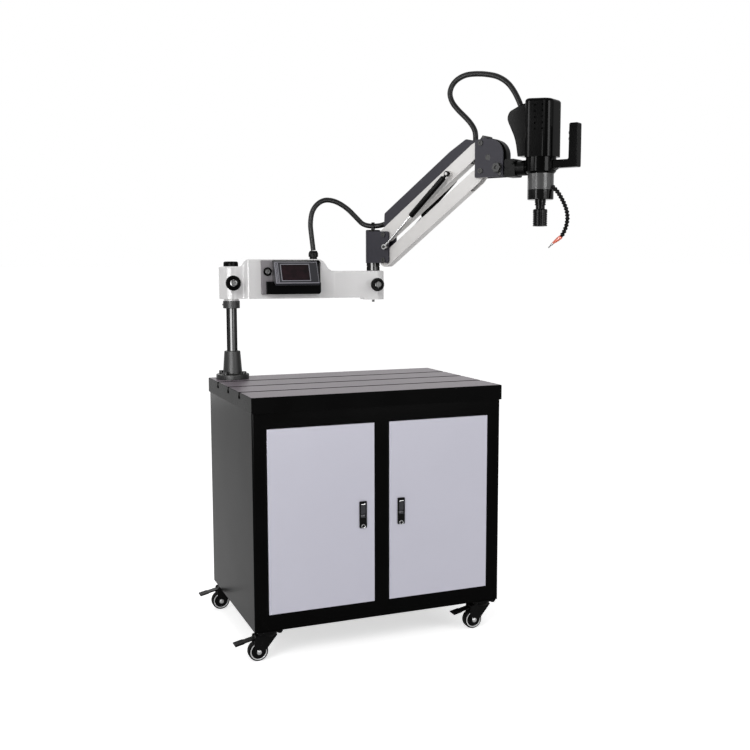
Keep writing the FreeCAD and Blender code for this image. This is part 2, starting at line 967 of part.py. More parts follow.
def caster_fork():
    """Drawn at its swivel axis with the wheel trailing towards -x."""
    top = cabinet_bottom - plate_thickness - swivel_gap
    low = top - race_height
    bore = king_pin_radius + turning_clearance
    race = turned([(bore, low), (race_radius - race_bevel, low), (race_radius, low + race_bevel),
                   (race_radius, top - race_lip), (race_radius - race_lip, top), (bore, top)])
    inner = wheel_width * half + cheek_gap
    outer = inner + cheek_thickness
    lap = race_radius - race_bevel
    corners = [(lap, low + cheek_lap, race_lip), (lap, low, race_bevel),
               (-caster_trail + cheek_front, wheel_radius - cheek_ear_rise, cheek_round),
               (-caster_trail - cheek_below, wheel_radius - cheek_below, cheek_round),
               (-caster_trail - cheek_back, wheel_radius + cheek_back, cheek_round),
               (pedal_pivot_x - cheek_ear, pedal_pivot_height + cheek_ear_rise, cheek_ear_rise),
               (-lap, low + cheek_lap, race_lip)]
    cheek = side_slab(corners, inner, outer)
    axle = cross_rod(axle_radius, -caster_trail, wheel_radius, -outer, outer)
    cap = cross_rod(axle_cap_radius, -caster_trail, wheel_radius, outer, outer + axle_cap)
    pin = cross_rod(pedal_pin_radius, pedal_pivot_x, pedal_pivot_height, -outer, outer)
    room = rod(king_head_radius + head_room, vec(0, 0, low), down, king_head + head_room)
    return joined([race.cut(room), axle, pin] + both_sides(cheek) + both_sides(cap))


def caster_wheel():
    hub = wheel_width * half + cheek_gap * half
    tread = wheel_width * half
    g = wheel_groove_depth
    half_profile = [(wheel_hub_radius, hub), (wheel_hub_radius + g, tread - g),
                    (wheel_groove_inner, tread - g), (wheel_groove_inner, tread - 2 * g),
                    (wheel_groove_outer, tread - 2 * g),
                    (wheel_groove_outer, tread), (wheel_radius - tread_round * half, tread - g),
                    (wheel_radius, tread - tread_round)]
    bore = axle_radius + turning_clearance
    profile = [(bore, hub)] + half_profile
    profile += [(r, -z) for r, z in reversed(profile)]
    return aimed(turned(profile), vec(-caster_trail, 0, wheel_radius), inward)


def brake_shoe():
    px, pz = pedal_pivot_x, pedal_pivot_height
    near, far = shoe_near, shoe_far
    outline = [(px - near, pz - near, 0), (px - far, pz - near * half, 0),
               (px - far + shoe_lean, pz - shoe_drop, 1), (px - near - shoe_lean, pz - shoe_drop, 1)]
    side = pedal_width * half - shoe_inset
    return side_slab(outline, -side, side)


def brake_pedal():
    """Toe pedal: pushed down it leans its shoe towards the tyre."""
    px, pz = pedal_pivot_x, pedal_pivot_height
    hub = cross_rod(pedal_hub_radius, px, pz, -pedal_width * half, pedal_width * half)
    run_x = pedal_tip_x - px
    run_z = pedal_tip_height - pz
    length = math.hypot(run_x, run_z)
    nx = run_z / length * pedal_thickness * half
    nz = -run_x / length * pedal_thickness * half
    outline = [(px + nx, pz + nz, 0), (px - nx, pz - nz, 0),
               (pedal_tip_x - nx, pedal_tip_height - nz, pedal_rib),
               (pedal_tip_x + nx, pedal_tip_height + nz, pedal_rib)]
    arm = side_slab(outline, -pedal_width * half, pedal_width * half)
    wide = box(pedal_tip_x - pedal_hub_radius, pedal_pad_start, -pedal_pad_width * half,
               pedal_pad_width * half, 0, cabinet_bottom)
    pad = side_slab(outline, -pedal_pad_width * half, pedal_pad_width * half).common(wide)
    pieces = [hub, arm, pad, brake_shoe()]
    for i in range(pedal_rib_count):
        share = (i + 1) / (pedal_rib_count + 1)
        x = pedal_pad_start + (pedal_tip_x - pedal_pad_start) * share
        z = pz + run_z * (x - px) / run_x + pedal_thickness * half
        pieces.append(cross_rod(pedal_rib, x, z, -pedal_pad_width * half + 2, pedal_pad_width * half - 2))
    shape = joined(pieces)
    return shape.cut(cross_rod(pedal_pin_radius + turning_clearance, px, pz, -reach, reach))


# column

def flange_bolt_places():
    places = []
    for i in range(flange_bolt_count):
        turn = math.radians(full_turn * (i + half) / flange_bolt_count)
        places.append((column_x + flange_bolt_circle * math.cos(turn),
                       column_y + flange_bolt_circle * math.sin(turn)))
    return places


def column_flange():
    t = flange_thickness
    profile = [(column_radius, 0), (flange_radius, 0), (flange_radius, t - flange_bevel),
               (flange_radius - flange_bevel, t), (flange_neck_radius + flange_bevel, t),
               (flange_neck_radius, t + flange_bevel), (flange_neck_top_radius, flange_neck_top - 1),
               (flange_neck_top_radius - 1, flange_neck_top), (column_radius, flange_neck_top)]
    body = moved(turned(profile), column_x, column_y, table_height)
    for x, y in flange_bolt_places():
        body = body.cut(rod(flange_bolt_radius + flange_hole_play, vec(x, y, table_height - 1), up,
                            t + 2))
    return body


def flange_bolts():
    return group([socket_screw(flange_bolt_radius, flange_thickness + flange_bolt_reach - 2,
                               flange_bolt_head_radius, flange_bolt_head,
                               vec(x, y, table_height + flange_thickness), up)
                  for x, y in flange_bolt_places()])


def column():
    top = column_top
    profile = [(0, 0), (column_radius, 0), (column_radius, top - column_bevel),
               (column_radius - column_bevel, top), (0, top)]
    return moved(turned(profile), column_x, column_y, table_height)


def column_collar():
    r = collar_radius
    ring = turned([(column_radius, collar_bottom), (r - 1, collar_bottom), (r, collar_bottom + 1),
                   (r, collar_top - 1), (r - 1, collar_top), (column_radius, collar_top)])
    slit = box(0, r + 1, -collar_slit * half, collar_slit * half, collar_bottom - 1, collar_top + 1)
    middle = (collar_bottom + collar_top) * half
    screw_hole = rod(collar_screw_radius, vec((column_radius + r) * half, -reach * half, middle),
                     inward, reach)
    ring = ring.cut(slit).cut(screw_hole)
    ring.rotate(origin, up, collar_turn)
    return moved(ring, column_x, column_y, table_height)


def collar_screw():
    middle = (collar_bottom + collar_top) * half
    half_run = math.sqrt(collar_radius ** 2 - ((column_radius + collar_radius) * half) ** 2)
    screw = rod(collar_screw_radius, vec((column_radius + collar_radius) * half, -half_run + 1, middle),
                inward, 2 * half_run - 2)
    screw.rotate(origin, up, collar_turn)
    return moved(screw, column_x, column_y, table_height)


# first arm

def arm_side_outline():
    """Hub, raised control section, a soft step down and the slim end with its deeper boss."""
    end = arm_1_length + elbow_end_radius
    boss = arm_1_length - elbow_end_radius
    return [(-hub_radius, hub_bottom, 0), (-hub_radius, hub_top, 0), (hub_run, hub_top, hub_round),
            (crown_start, bulge_top, crown_round), (bulge_end + step_run, bulge_top, step_round),
            (slim_start - step_run, slim_top, step_round), (end, slim_top, 0),
            (end, elbow_end_bottom, 0), (boss, elbow_end_bottom, 0), (boss - boss_run, hub_bottom, 0)]


def arm_plan():
    w = bulge_half_width
    n = slim_half_width
    near = bulge_start - flare_run
    far = slim_start + step_run * half
    corners = [(0, -n, 0), (near, -n, step_run), (bulge_start, -w, flare_run),
               (bulge_end, -w, step_round), (far, -n, step_round), (arm_1_length, -elbow_end_radius, 0),
               (arm_1_length, elbow_end_radius, 0), (far, n, step_round), (bulge_end, w, step_round),
               (bulge_start, w, flare_run), (near, n, step_run), (0, n, 0)]
    z0 = elbow_end_bottom - 1
    z1 = bulge_top + 1
    body = plan_slab(corners, z0, z1)
    hub = rod(hub_radius, vec(0, 0, z0), up, z1 - z0)
    end = rod(elbow_end_radius, vec(arm_1_length, 0, z0), up, z1 - z0)
    return joined([body, hub, end])


def arm_casting():
    side = side_slab(arm_side_outline(), -reach * half, reach * half)
    body = arm_plan().common(side)
    crown = [e for e in body.Edges if e.BoundBox.ZMin > slim_top - 1
             and (e.BoundBox.YLength > half or e.BoundBox.XLength > crown_edge)]
    body = softened(body, crown, casting_round)
    boss = rod(knob_boss_radius, vec(0, 0, knob_height), outward, knob_seat)
    end_boss = rod(knob_boss_radius, vec(arm_1_length, 0, elbow_knob_height), outward, elbow_knob_seat)
    body = joined([body, boss, end_boss])
    foot = rod(hub_foot_radius, vec(0, 0, collar_top + bush_clearance), up, hub_bottom - collar_top)
    body = body.fuse(foot)
    for cutter in arm_bores():
        body = body.cut(cutter)
    room = box(cavity_start, cavity_end, -bulge_half_width - 1, bulge_half_width - cavity_wall,
               cavity_bottom, bulge_top - cavity_wall)
    body = body.cut(room)
    return body.cut(rod(gland_bore, vec(gland_a, 0, cavity_bottom + gland_bore), up, bulge_top))


def arm_bores():
    """Bores for the column, the elbow post and the screws of the two lock knobs."""
    screw = knob_shaft_radius + turning_clearance
    return [rod(column_radius + bush_clearance, vec(0, 0, collar_top - 1), up,
                hub_top - collar_top + 2),
            rod(journal_radius + bush_clearance, vec(arm_1_length, 0, elbow_end_bottom - 1), up,
                slim_top - elbow_end_bottom + 2),
            rod(screw, vec(0, 0, knob_height), outward, reach),
            rod(screw, vec(arm_1_length, 0, elbow_knob_height), outward, reach)]


def column_cap():
    r = cap_radius
    h = cap_height
    c = cap_round
    cap = turned([(0, 0), (r, 0), (r, h - c), (r - c * bevel_share, h - c * bevel_share),
                  (r - c, h), (0, h)])
    recess = rod(column_radius + 1, vec(0, 0, -1), up, cap_recess)
    return moved(cap.cut(recess), 0, 0, hub_top)


def knob_grip(ring_radius, seat, front, inner_radius):
    """Black hand ring with finger notches, drawn along +Z from its seat."""
    length = front - seat - knob_gap
    b = grip_bevel
    ring = turned([(inner_radius, 0), (ring_radius - b, 0), (ring_radius, b), (ring_radius, length - b),
                   (ring_radius - b, length), (inner_radius, length)])
    for i in range(grip_notches):
        turn = math.radians(full_turn * i / grip_notches)
        notch = rod(grip_notch_radius, vec((ring_radius + 1) * math.cos(turn),
                                           (ring_radius + 1) * math.sin(turn), -1), up, length + 2)
        ring = ring.cut(notch)
    return ring


def knob_core(seat, front, shaft_from):
    """Chrome centre with its slot and the screw that reaches in to clamp the shaft."""
    length = front - seat - knob_gap + knob_centre_proud
    c = knob_centre_radius
    b = core_bevel
    core = turned([(0, 0), (c, 0), (c, length - b), (c - b, length), (0, length)])
    slot = box(-core_slot * half, core_slot * half, -c, c, length - core_slot_depth, length + 1)
    core = core.cut(slot)
    start = seat + knob_gap - shaft_from - knob_shaft_gap
    shaft = rod(knob_shaft_radius, vec(0, 0, -start), up, start)
    return joined([core, shaft])


def lock_knob(a, height, seat, front, ring_radius, shaft_from):
    place = vec(a, -(seat + knob_gap), height)
    ring = aimed(knob_grip(ring_radius, seat, front, knob_centre_radius), place, outward)
    core = aimed(knob_core(seat, front, shaft_from), place, outward)
    return group([ring, core])


def control_panel():
    """Face plate over the arm's window, the switch's guard ring and the terminal box below."""
    plate = side_slab(rectangle(panel_start, panel_end, panel_bottom, panel_top, panel_corner),
                      -bulge_half_width - panel_plate, -bulge_half_width)
    window = box(screen_box_start + window_margin, screen_box_end - window_margin, -reach, 0,
                 lower_box_top + window_margin, panel_top - window_top_margin)
    stem = cross_rod(switch_stem_radius + turning_clearance, switch_a, switch_height,
                     -bulge_half_width - panel_plate - 1, 0)
    return group([plate.cut(window).cut(stem), power_switch_ring(), lower_box()])


def lower_box():
    outline = rectangle(lower_box_start, panel_end - 1, panel_bottom, lower_box_top, panel_corner)
    return side_slab(outline, -lower_box_front, -bulge_half_width - panel_plate)


def screen_outline():
    back = -bulge_half_width - panel_plate
    r = screen_round
    return [(back, lower_box_top, 0), (back, screen_box_top, 0),
            (-screen_lip_lateral, screen_lip_height, r), (-screen_foot_lateral, screen_foot_height, r),
            (-screen_foot_lateral + screen_chin * half, screen_foot_height - screen_chin, r * half),
            (-lower_box_front, lower_box_top, 0)]


def screen_frame():
    """Centre of the tilted face, its up-slope direction and its outward normal."""
    low = vec(screen_centre, -screen_foot_lateral, screen_foot_height)
    high = vec(screen_centre, -screen_lip_lateral, screen_lip_height)
    slope = (high - low).normalize()
    return (low + high) * half, slope, slope.cross(along).normalize() * -1


def on_screen(shape):
    """From x across, y up the slope and z out of the glass onto the tilted face."""
    centre, slope, normal = screen_frame()
    if along.cross(slope).dot(normal) < 0:
        normal = normal * -1
    m = FreeCAD.Matrix(along.x, slope.x, normal.x, centre.x, along.y, slope.y, normal.y, centre.y,
                       along.z, slope.z, normal.z, centre.z, 0, 0, 0, 1)
    shape = shape.copy()
    shape.Placement = FreeCAD.Placement(m)
    return shape


def screen_bezel():
    """Desk-shaped housing that tilts the touch screen up towards the operator."""
    shell = end_slab(screen_outline(), screen_box_start, screen_box_end)
    inside = box(screen_box_start + screen_wall, screen_box_end - screen_wall,
                 -screen_lip_lateral + screen_wall * half, 0, lower_box_top + screen_wall,
                 screen_lip_height - screen_roof)
    seat = plan_slab(rectangle(-screen_width * half, screen_width * half, -screen_height * half,
                               screen_height * half, screen_corner), -screen_depth, screen_wall)
    return shell.cut(inside).cut(on_screen(seat))


def touch_screen():
    side = screen_width * half - screen_fit
    rise = screen_height * half - screen_fit
    glass = plan_slab(rectangle(-side, side, -rise, rise, screen_corner), -screen_depth,
                      -screen_depth + screen_thickness)
    return on_screen(glass)


def power_switch_ring():
    face = bulge_half_width + panel_plate
    return tube(switch_ring_radius, switch_knob_radius + switch_ring_gap,
                vec(switch_a, -face, switch_height), outward, switch_ring)


def power_switch():
    face = bulge_half_width + panel_plate
    r = switch_knob_radius
    b = switch_bevel
    knob = turned([(0, 0), (r, 0), (r, switch_knob - b), (r - b, switch_knob), (0, switch_knob)])
    knob = knob.cut(box(-switch_slot * half, switch_slot * half, -r, r, switch_knob - b,
                        switch_knob + 1))
    stem = rod(switch_stem_radius, vec(0, 0, -panel_plate), up, panel_plate)
    return aimed(joined([knob, stem]), vec(switch_a, -face - switch_lift, switch_height), outward)


def cable_gland():
    top = gland_neck + gland_dome
    n = gland_neck_radius
    d = gland_dome_radius
    t = gland_tip
    profile = [(gland_bore, 0), (n, 0), (n, gland_neck), (d, gland_neck + 1),
               (d, gland_neck + gland_skirt), (d - t, top - 1), (hose_radius + t, top), (gland_bore, top)]
    body = turned(profile)
    circle = d + gland_rib - gland_rib_depth
    for i in range(gland_rib_count):
        turn = math.radians(full_turn * i / gland_rib_count)
        foot = vec(circle * math.cos(turn), circle * math.sin(turn), gland_rib_foot)
        body = body.cut(rod(gland_rib, foot, up, gland_rib_length))
    return moved(body, gland_a, 0, bulge_top)


# elbow

def elbow_post():
    """Chrome post: journal in the arm's elbow end, collar above it and a spigot in the bracket."""
    r = post_radius
    g = post_groove
    z = post_groove_height
    profile = [(0, elbow_end_bottom - retainer_drop), (retainer_radius, elbow_end_bottom - retainer_drop),
               (retainer_radius, journal_bottom), (journal_radius, journal_bottom),
               (journal_radius, slim_top + thrust_gap), (r, slim_top + thrust_gap), (r, z),
               (r - g, z), (r - g, z + g), (r, z + g), (r, post_top), (post_spigot_radius, post_top),
               (post_spigot_radius, post_top + post_spigot), (0, post_top + post_spigot)]
    return turned(profile)


def elbow_bracket():
    b = barrel_bevel
    barrel = turned([(0, post_top), (barrel_radius, post_top), (barrel_radius, barrel_top - b),
                     (barrel_radius - b, barrel_top), (0, barrel_top)])
    outline = [(0, post_top, 0), (bracket_reach, post_top, bracket_corner),
               (bracket_reach, bracket_plate_top, bracket_corner), (0, bracket_plate_top, 0)]
    plates = both_sides(side_slab(outline, plate_inner, plate_outer))
    body = joined([barrel] + plates)
    body = body.cut(rod(post_spigot_radius, vec(0, 0, post_top - 1), up, post_spigot + 1))
    for height in (lower_pin_height, upper_pin_height):
        body = body.cut(cross_rod(pin_radius, link_root_a, height, -reach, reach))
    return body


def hose_clip():
    """Ring on top of the bracket, turned halfway between the two arms."""
    ring_outer = clip_inner + clip_wall
    place = vec(-clip_width * half, 0, clip_height)
    ring = rod(ring_outer, place, along, clip_width)
    foot = box(-clip_width * half, clip_width * half, -ring_outer, ring_outer, barrel_top,
               clip_height - clip_width * half)
    clip = joined([ring, foot]).cut(rod(clip_inner, place - along, along, clip_width + 2))
    clip.rotate(origin, up, math.degrees(clip_turn))
    return clip


def through_pin(a, height):
    shank = cross_rod(pin_radius, a, height, -plate_outer, plate_outer)
    head = cross_rod(pin_head_radius, a, height, plate_outer, plate_outer + pin_head)
    head = head.cut(hex_prism(pin_key, vec(a, plate_outer + pin_head * half, height), inward,
                              pin_head))
    return joined([shank] + both_sides(head))


def elbow_pins():
    return group([through_pin(link_root_a, lower_pin_height),
                  through_pin(link_root_a, upper_pin_height)] + lower_spring_studs())


def lower_spring_studs():
    stud = cross_rod(spring_stud_radius, spring_foot_a, spring_foot_height, plate_outer,
                     spring_lateral + spring_eye_width * half + stud_end)
    collar = cross_rod(stud_collar_radius, spring_foot_a, spring_foot_height, plate_outer,
                       spring_lateral - spring_eye_width * half - side_clearance)
    return both_sides(joined([stud, collar]))


# links

def link_tube():
    """Rectangular tube, rounded at the elbow pin, with open slots that clear the tilt disc."""
    h = link_half_height
    w = link_half_width
    end = link_length + link_tongue
    taper = link_length - link_taper_start
    t = link_tongue
    outline = [(-h, -h, h - round_rest), (-h, h, h - round_rest), (taper, h, link_shoulder),
               (end, t, t - round_rest), (end, -t, t - round_rest), (taper, -h, link_shoulder)]
    bar = side_slab(outline, -w, w)
    inner = w - link_wall
    bar = bar.cut(box(link_end_solid, end + 1, -inner, inner, -h + link_wall, h - link_wall))
    bar = bar.cut(box(link_length - slot_under, end + 1, -inner, inner, -h - 1, 0))
    bar = bar.cut(box(link_length - slot_over, end + 1, -inner, inner, 0, h + 1))
    face = plate_inner - side_clearance
    washers = [cross_rod(side_washer, x, 0, w, face) for x in (0, link_length)]
    bar = joined([bar] + [piece for washer in washers for piece in both_sides(washer)])
    for x in (0, link_length):
        bar = bar.cut(cross_rod(pin_radius + pin_clearance, x, 0, -reach, reach))
    return bar


def cover_outline(inset):
    base = link_half_height - min(inset, 1)
    return [(cover_start + 2 * inset, base, 0),
            (cover_rise + inset, cover_root_height - inset, cover_root_round - inset),
            (cover_shoulder - cover_crown, cover_height - inset, cover_crown),
            (cover_shoulder - inset, cover_shoulder_height - inset, cover_shoulder_round),
            (cover_end - 2 * inset, base, 0)]


def cable_cover():
    """Shell over the upper link that carries the hose between its two mouths."""
    shell = side_slab(cover_outline(0), -cover_half_width, cover_half_width)
    inside = side_slab(cover_outline(cover_wall), -cover_half_width + cover_wall,
                       cover_half_width - cover_wall)
    shell = shell.cut(inside)
    level = vec(math.cos(lift), 0, -math.sin(lift))
    upright = vec(math.sin(lift), 0, math.cos(lift))
    mouth = rod(cover_mouth_radius, vec(cover_mouth_u, 0, cover_mouth_w) - level * cover_mouth_reach,
                level, cover_mouth_reach + cover_exit_u - cover_shoulder + cover_mouth_radius)
    exit_hole = rod(cover_exit_radius, vec(cover_exit_u, 0, cover_exit_w), upright, cover_height)
    return shell.cut(mouth).cut(exit_hole)


def upper_spring_studs():
    stud = cross_rod(spring_stud_radius, spring_stud_u, spring_stud_w, link_half_width,
                     spring_lateral + spring_eye_width * half + stud_end)
    collar = cross_rod(stud_foot_radius, spring_stud_u, spring_stud_w, link_half_width,
                       spring_lateral - spring_eye_width * half - side_clearance)
    return both_sides(joined([stud, collar]))


def spring_ends():
    """Foot pivot and top stud of the gas springs in the second arm's frame."""
    foot = vec(spring_foot_a, 0, spring_foot_height)
    c, s = math.cos(lift), math.sin(lift)
    top = vec(link_root_a + spring_stud_u * c - spring_stud_w * s, 0,
              upper_pin_height + spring_stud_u * s + spring_stud_w * c)
    return foot, top


def eye(place):
    y0 = spring_lateral - spring_eye_width * half
    y1 = spring_lateral + spring_eye_width * half
    ring = cross_rod(spring_eye_radius, place.x, place.z, y0, y1)
    return ring, cross_rod(spring_stud_radius + pin_clearance, place.x, place.z, y0 - 1, y1 + 1)


def gas_spring_rods():
    foot, top = spring_ends()
    direction = (top - foot).normalize()
    side = vec(0, spring_lateral, 0)
    ring, bore = eye(foot)
    stem = rod(spring_rod_radius, foot + side, direction, spring_rod_length)
    neck = rod(spring_neck_radius, foot + side, direction, spring_neck)
    return group(both_sides(joined([ring, stem, neck]).cut(bore)))


def gas_spring_cylinders():
    """Open at the rod end by the room that the rod needs as the arm lifts."""
    foot, top = spring_ends()
    direction = (foot - top).normalize()
    side = vec(0, spring_lateral, 0)
    ring, bore = eye(top)
    r = spring_cylinder_radius
    start, end = spring_cylinder_start, spring_cylinder_end
    c = spring_cap
    body = turned([(0, start), (r - c * half, start), (r, start + c), (r, end - c),
                   (r - c * half, end), (0, end)])
    hollow = rod(spring_bore, vec(0, 0, start + c), up, end)
    neck = rod(spring_neck_radius, vec(0, 0, 0), up, start + 1)
    body = aimed(body.cut(hollow), top + side, direction)
    neck = aimed(neck, top + side, direction)
    return group(both_sides(joined([ring, neck, body]).cut(bore)))


# wrist

def wrist_plate():
    c = wrist_corner
    ear_root = tie_ear + c * half
    ear_tip = tie_ear - c
    outline = [(wrist_left, wrist_bottom, c), (wrist_right, wrist_bottom, c),
               (wrist_right, wrist_top, wrist_round), (tie_a + ear_root, wrist_top, 1),
               (tie_a + ear_tip, tie_height, 1), (tie_a - ear_tip, tie_height, 1),
               (tie_a - ear_root, wrist_top, 1), (wrist_left, wrist_top, c)]
    plate = side_slab(outline, plate_inner, plate_outer)
    holes = [(wrist_a, lower_pin_height + link_rise, pin_radius),
             (wrist_a, upper_pin_height + link_rise, pin_radius),
             (tilt_a, tilt_height, tilt_pin_radius), (spacer_a, spacer_height, spacer_radius),
             (clamp_a, clamp_height, clamp_bolt_radius + turning_clearance),
             (tie_a, tie_height, tie_radius)]
    for a, z, r in holes:
        plate = plate.cut(cross_rod(r, a, z, -reach, reach))
    return plate


def wrist_bracket():
    """Two cheek plates tied by a distance bar below the disc."""
    bar = cross_rod(spacer_radius + spacer_wall, spacer_a, spacer_height, -plate_inner, plate_inner)
    bar = bar.cut(cross_rod(spacer_radius, spacer_a, spacer_height, -reach, reach))
    return joined(both_sides(wrist_plate()) + [bar])


def tie_bar():
    return cross_rod(tie_radius, tie_a, tie_height, -plate_outer, plate_outer)


def wrist_pins():
    """Stub pins for the links on each cheek, the tilt pin and the spacer bolt."""
    pieces = []
    for height in (lower_pin_height + link_rise, upper_pin_height + link_rise):
        shank = cross_rod(pin_radius, wrist_a, height, stub_end, plate_outer)
        head = cross_rod(pin_head_radius, wrist_a, height, plate_outer, plate_outer + pin_head)
        head = head.cut(hex_prism(pin_key, vec(wrist_a, plate_outer + pin_head * half, height),
                                  inward, pin_head))
        pieces += both_sides(joined([shank, head]))
    pieces.append(cross_rod(tilt_pin_radius, tilt_a, tilt_height, -plate_outer, plate_outer))
    bolt = cross_rod(spacer_radius, spacer_a, spacer_height, -plate_outer, plate_outer)
    head = cross_rod(spacer_head_radius, spacer_a, spacer_height, plate_outer,
                     plate_outer + spacer_head)
    pieces.append(joined([bolt] + both_sides(head)))
    pieces.append(tie_bar())
    return group(pieces)


def tilt_lock_knob():
    """Hexagon hand screw on the operator's cheek, through the slot of the disc."""
    bolt = cross_rod(clamp_bolt_radius, clamp_a, clamp_height, -plate_outer - 1, plate_outer + 1)
    seat = vec(clamp_a, -plate_outer - knob_gap, clamp_height)
    head = hex_prism(clamp_knob_radius * math.cos(math.pi / 6), seat, outward, clamp_knob)
    skirt = rod(clamp_knob_radius, seat, outward, clamp_skirt)
    cup = rod(clamp_cup_radius, seat + outward * (clamp_knob - clamp_skirt), outward, clamp_knob)
    nut = hex_prism(clamp_nut_radius, vec(clamp_a, plate_outer + knob_gap, clamp_height), inward,
                    clamp_nut)
    return joined([bolt, head.cut(cup), skirt, nut])


def disc_slot_cutter():
    """Curved slot for the clamp screw over the whole tilt."""
    start = math.atan2(clamp_height - tilt_height, clamp_a - tilt_a)
    cutters = [cross_rod(disc_slot_radius + disc_slot, tilt_a, tilt_height, -reach, reach)
               .cut(cross_rod(disc_slot_radius - disc_slot, tilt_a, tilt_height, -reach, reach))]
    far = disc_radius * 2
    first, last = start, start - math.radians(quarter)
    corners = [vec(tilt_a, -reach, tilt_height)]
    for share in (0, 1 / 3, 2 / 3, 1):
        turn = first + (last - first) * share
        corners.append(vec(tilt_a + far * math.cos(turn), -reach, tilt_height + far * math.sin(turn)))
    wedge = Part.Face(Part.makePolygon(corners + corners[:1])).extrude(vec(0, 2 * reach, 0))
    arc = cutters[0].common(wedge)
    ends = [cross_rod(disc_slot, tilt_a + disc_slot_radius * math.cos(t),
                      tilt_height + disc_slot_radius * math.sin(t), -reach, reach) for t in (first, last)]
    return arc.fuse(ends)


def tilt_arm():
    """Slotted index disc between the cheeks, carried out to the block that holds the head."""
    disc = cross_rod(disc_radius, tilt_a, tilt_height, -disc_half, disc_half)
    neck = box(tilt_a + disc_radius * half, block_start + 1, -disc_half, disc_half, neck_bottom,
               neck_top)
    block = side_slab(rectangle(block_start, block_end, block_bottom, block_top, block_corner),
                      -block_half_width, block_half_width)
    boss = rod(roll_boss_radius, vec(block_end - 1, 0, roll_height), along,
               roll_boss_end - block_end + 1)
    body = joined([disc, neck, block, boss])
    body = body.cut(cross_rod(tilt_pin_radius + pin_clearance, tilt_a, tilt_height, -reach, reach))
    body = body.cut(disc_slot_cutter())
    bore_end = vec(roll_boss_end - roll_bore_depth, 0, roll_height)
    body = body.cut(rod(roll_pin_radius + bush_clearance, bore_end, along, roll_bore_depth + 1))
    lock = rod(roll_lock_radius, vec(roll_lock_a, -roll_lock_depth, roll_lock_height), outward, reach)
    return body.cut(lock)


def roll_plunger():
    """Chrome index plunger in the operator's side of the block, beside the roll pin."""
    face = block_half_width - roll_lock_depth
    r = roll_lock_radius
    n, t = plunger_nut, plunger_tip
    profile = [(0, 0), (r, 0), (r, face), (r + 1, face), (r + 1, face + n), (r - half, face + n + 1),
               (r - half, face + t), (0, face + t)]
    return aimed(turned(profile), vec(roll_lock_a, -roll_lock_depth, roll_lock_height), outward)


# head

def head_clamp():
    """Split clamp ring round the housing with the roll pin on one side and the handle seat opposite."""
    r = clamp_ring_radius
    c = clamp_ring_chamfer
    z0, z1 = clamp_ring_bottom, clamp_ring_top
    ring = turned([(housing_radius, z0), (housing_radius + 1, z0), (r, z0 + c), (r, z1),
                   (housing_radius, z1)])
    ring = moved(ring, spindle_a)
    face = roll_boss_end + roll_gap
    pad = rod(roll_pad_radius, vec(face, 0, roll_height), along, spindle_a - face)
    pin = rod(roll_pin_radius, vec(roll_boss_end - roll_bore_depth + 1, 0, roll_height), along,
              roll_bore_depth + roll_gap + 1)
    m = handle_seat_margin
    seat = box(spindle_a, handle_root_a, -handle_half_width - m, handle_half_width + m,
               handle_bar_bottom - m, handle_bar_top + m)
    body = joined([ring, pad, pin, seat])
    bore = rod(housing_radius, vec(spindle_a, 0, z0 - 1), up, z1 - z0 + 2)
    body = body.cut(bore)
    return body.cut(box(-reach, reach, -reach, reach, clamp_ring_top, clamp_ring_top + reach))


def spindle_housing():
    z = housing_bottom
    r = housing_radius
    b = housing_bore
    return moved(turned([(b, z), (r, z), (r, clamp_ring_top), (b, clamp_ring_top)]), spindle_a)


def nose_ring():
    r = housing_radius
    z = nose_bottom
    inner = housing_bore
    b = nose_bevel
    body = turned([(inner, z), (r - b, z), (r, z + b), (r, housing_bottom), (inner, housing_bottom)])
    body = moved(body, spindle_a)
    c = nose_screw_circle
    for i in range(nose_screw_count):
        turn = math.radians(full_turn * (i + half) / nose_screw_count)
        foot = vec(spindle_a + c * math.cos(turn), c * math.sin(turn), z - 1)
        body = body.cut(rod(nose_screw_radius, foot, up, nose_screw_depth))
    return body


def cover_plan(inset):
    l = cover_half_length - inset
    d = cover_half_depth - inset
    c = cover_corner - inset
    a = cover_centre_a
    return rectangle(a - l, a + l, -d, d, c)


def motor_cover():
    """Moulded hood over the motor, its top sloping down outwards and two vent rows each side."""
    hood = plan_slab(cover_plan(0), cover_bottom, cover_front_top)
    a0 = cover_centre_a - cover_half_length
    a1 = cover_centre_a + cover_half_length
    sky = side_slab([(a0, cover_front_top, 0), (a1, cover_outer_top, 0),
                     (a1, cover_front_top + cover_top_round, 0),
                     (a0, cover_front_top + cover_top_round, 0)], -reach, reach)
    hood = hood.cut(sky)
    rim = [e for e in hood.Edges if e.BoundBox.ZMin > cover_outer_top - 1]
    hood = softened(hood, rim, cover_top_round)
    room = plan_slab(cover_plan(cover_shell), cover_bottom - 1, cover_outer_top - cover_top_round)
    hood = hood.cut(room)
    for i in range(vent_columns):
        for j in range(vent_rows):
            a = cover_centre_a + vent_offset + (i - half) * vent_spacing
            hood = hood.cut(cross_rod(vent_radius, a, vent_top - j * vent_pitch, -reach, reach))
    return hood


def spindle_motor():
    m = motor_half
    body = plan_slab(rectangle(spindle_a - m, spindle_a + m, -m, m, motor_corner), motor_bottom,
                     motor_bottom + motor_height)
    flange = rod(motor_flange_radius, vec(spindle_a, 0, clamp_ring_top), up,
                 motor_bottom - clamp_ring_top)
    bore = rod(motor_bore, vec(spindle_a, 0, clamp_ring_top - 1), up, motor_bore_depth)
    return joined([body, flange]).cut(bore)


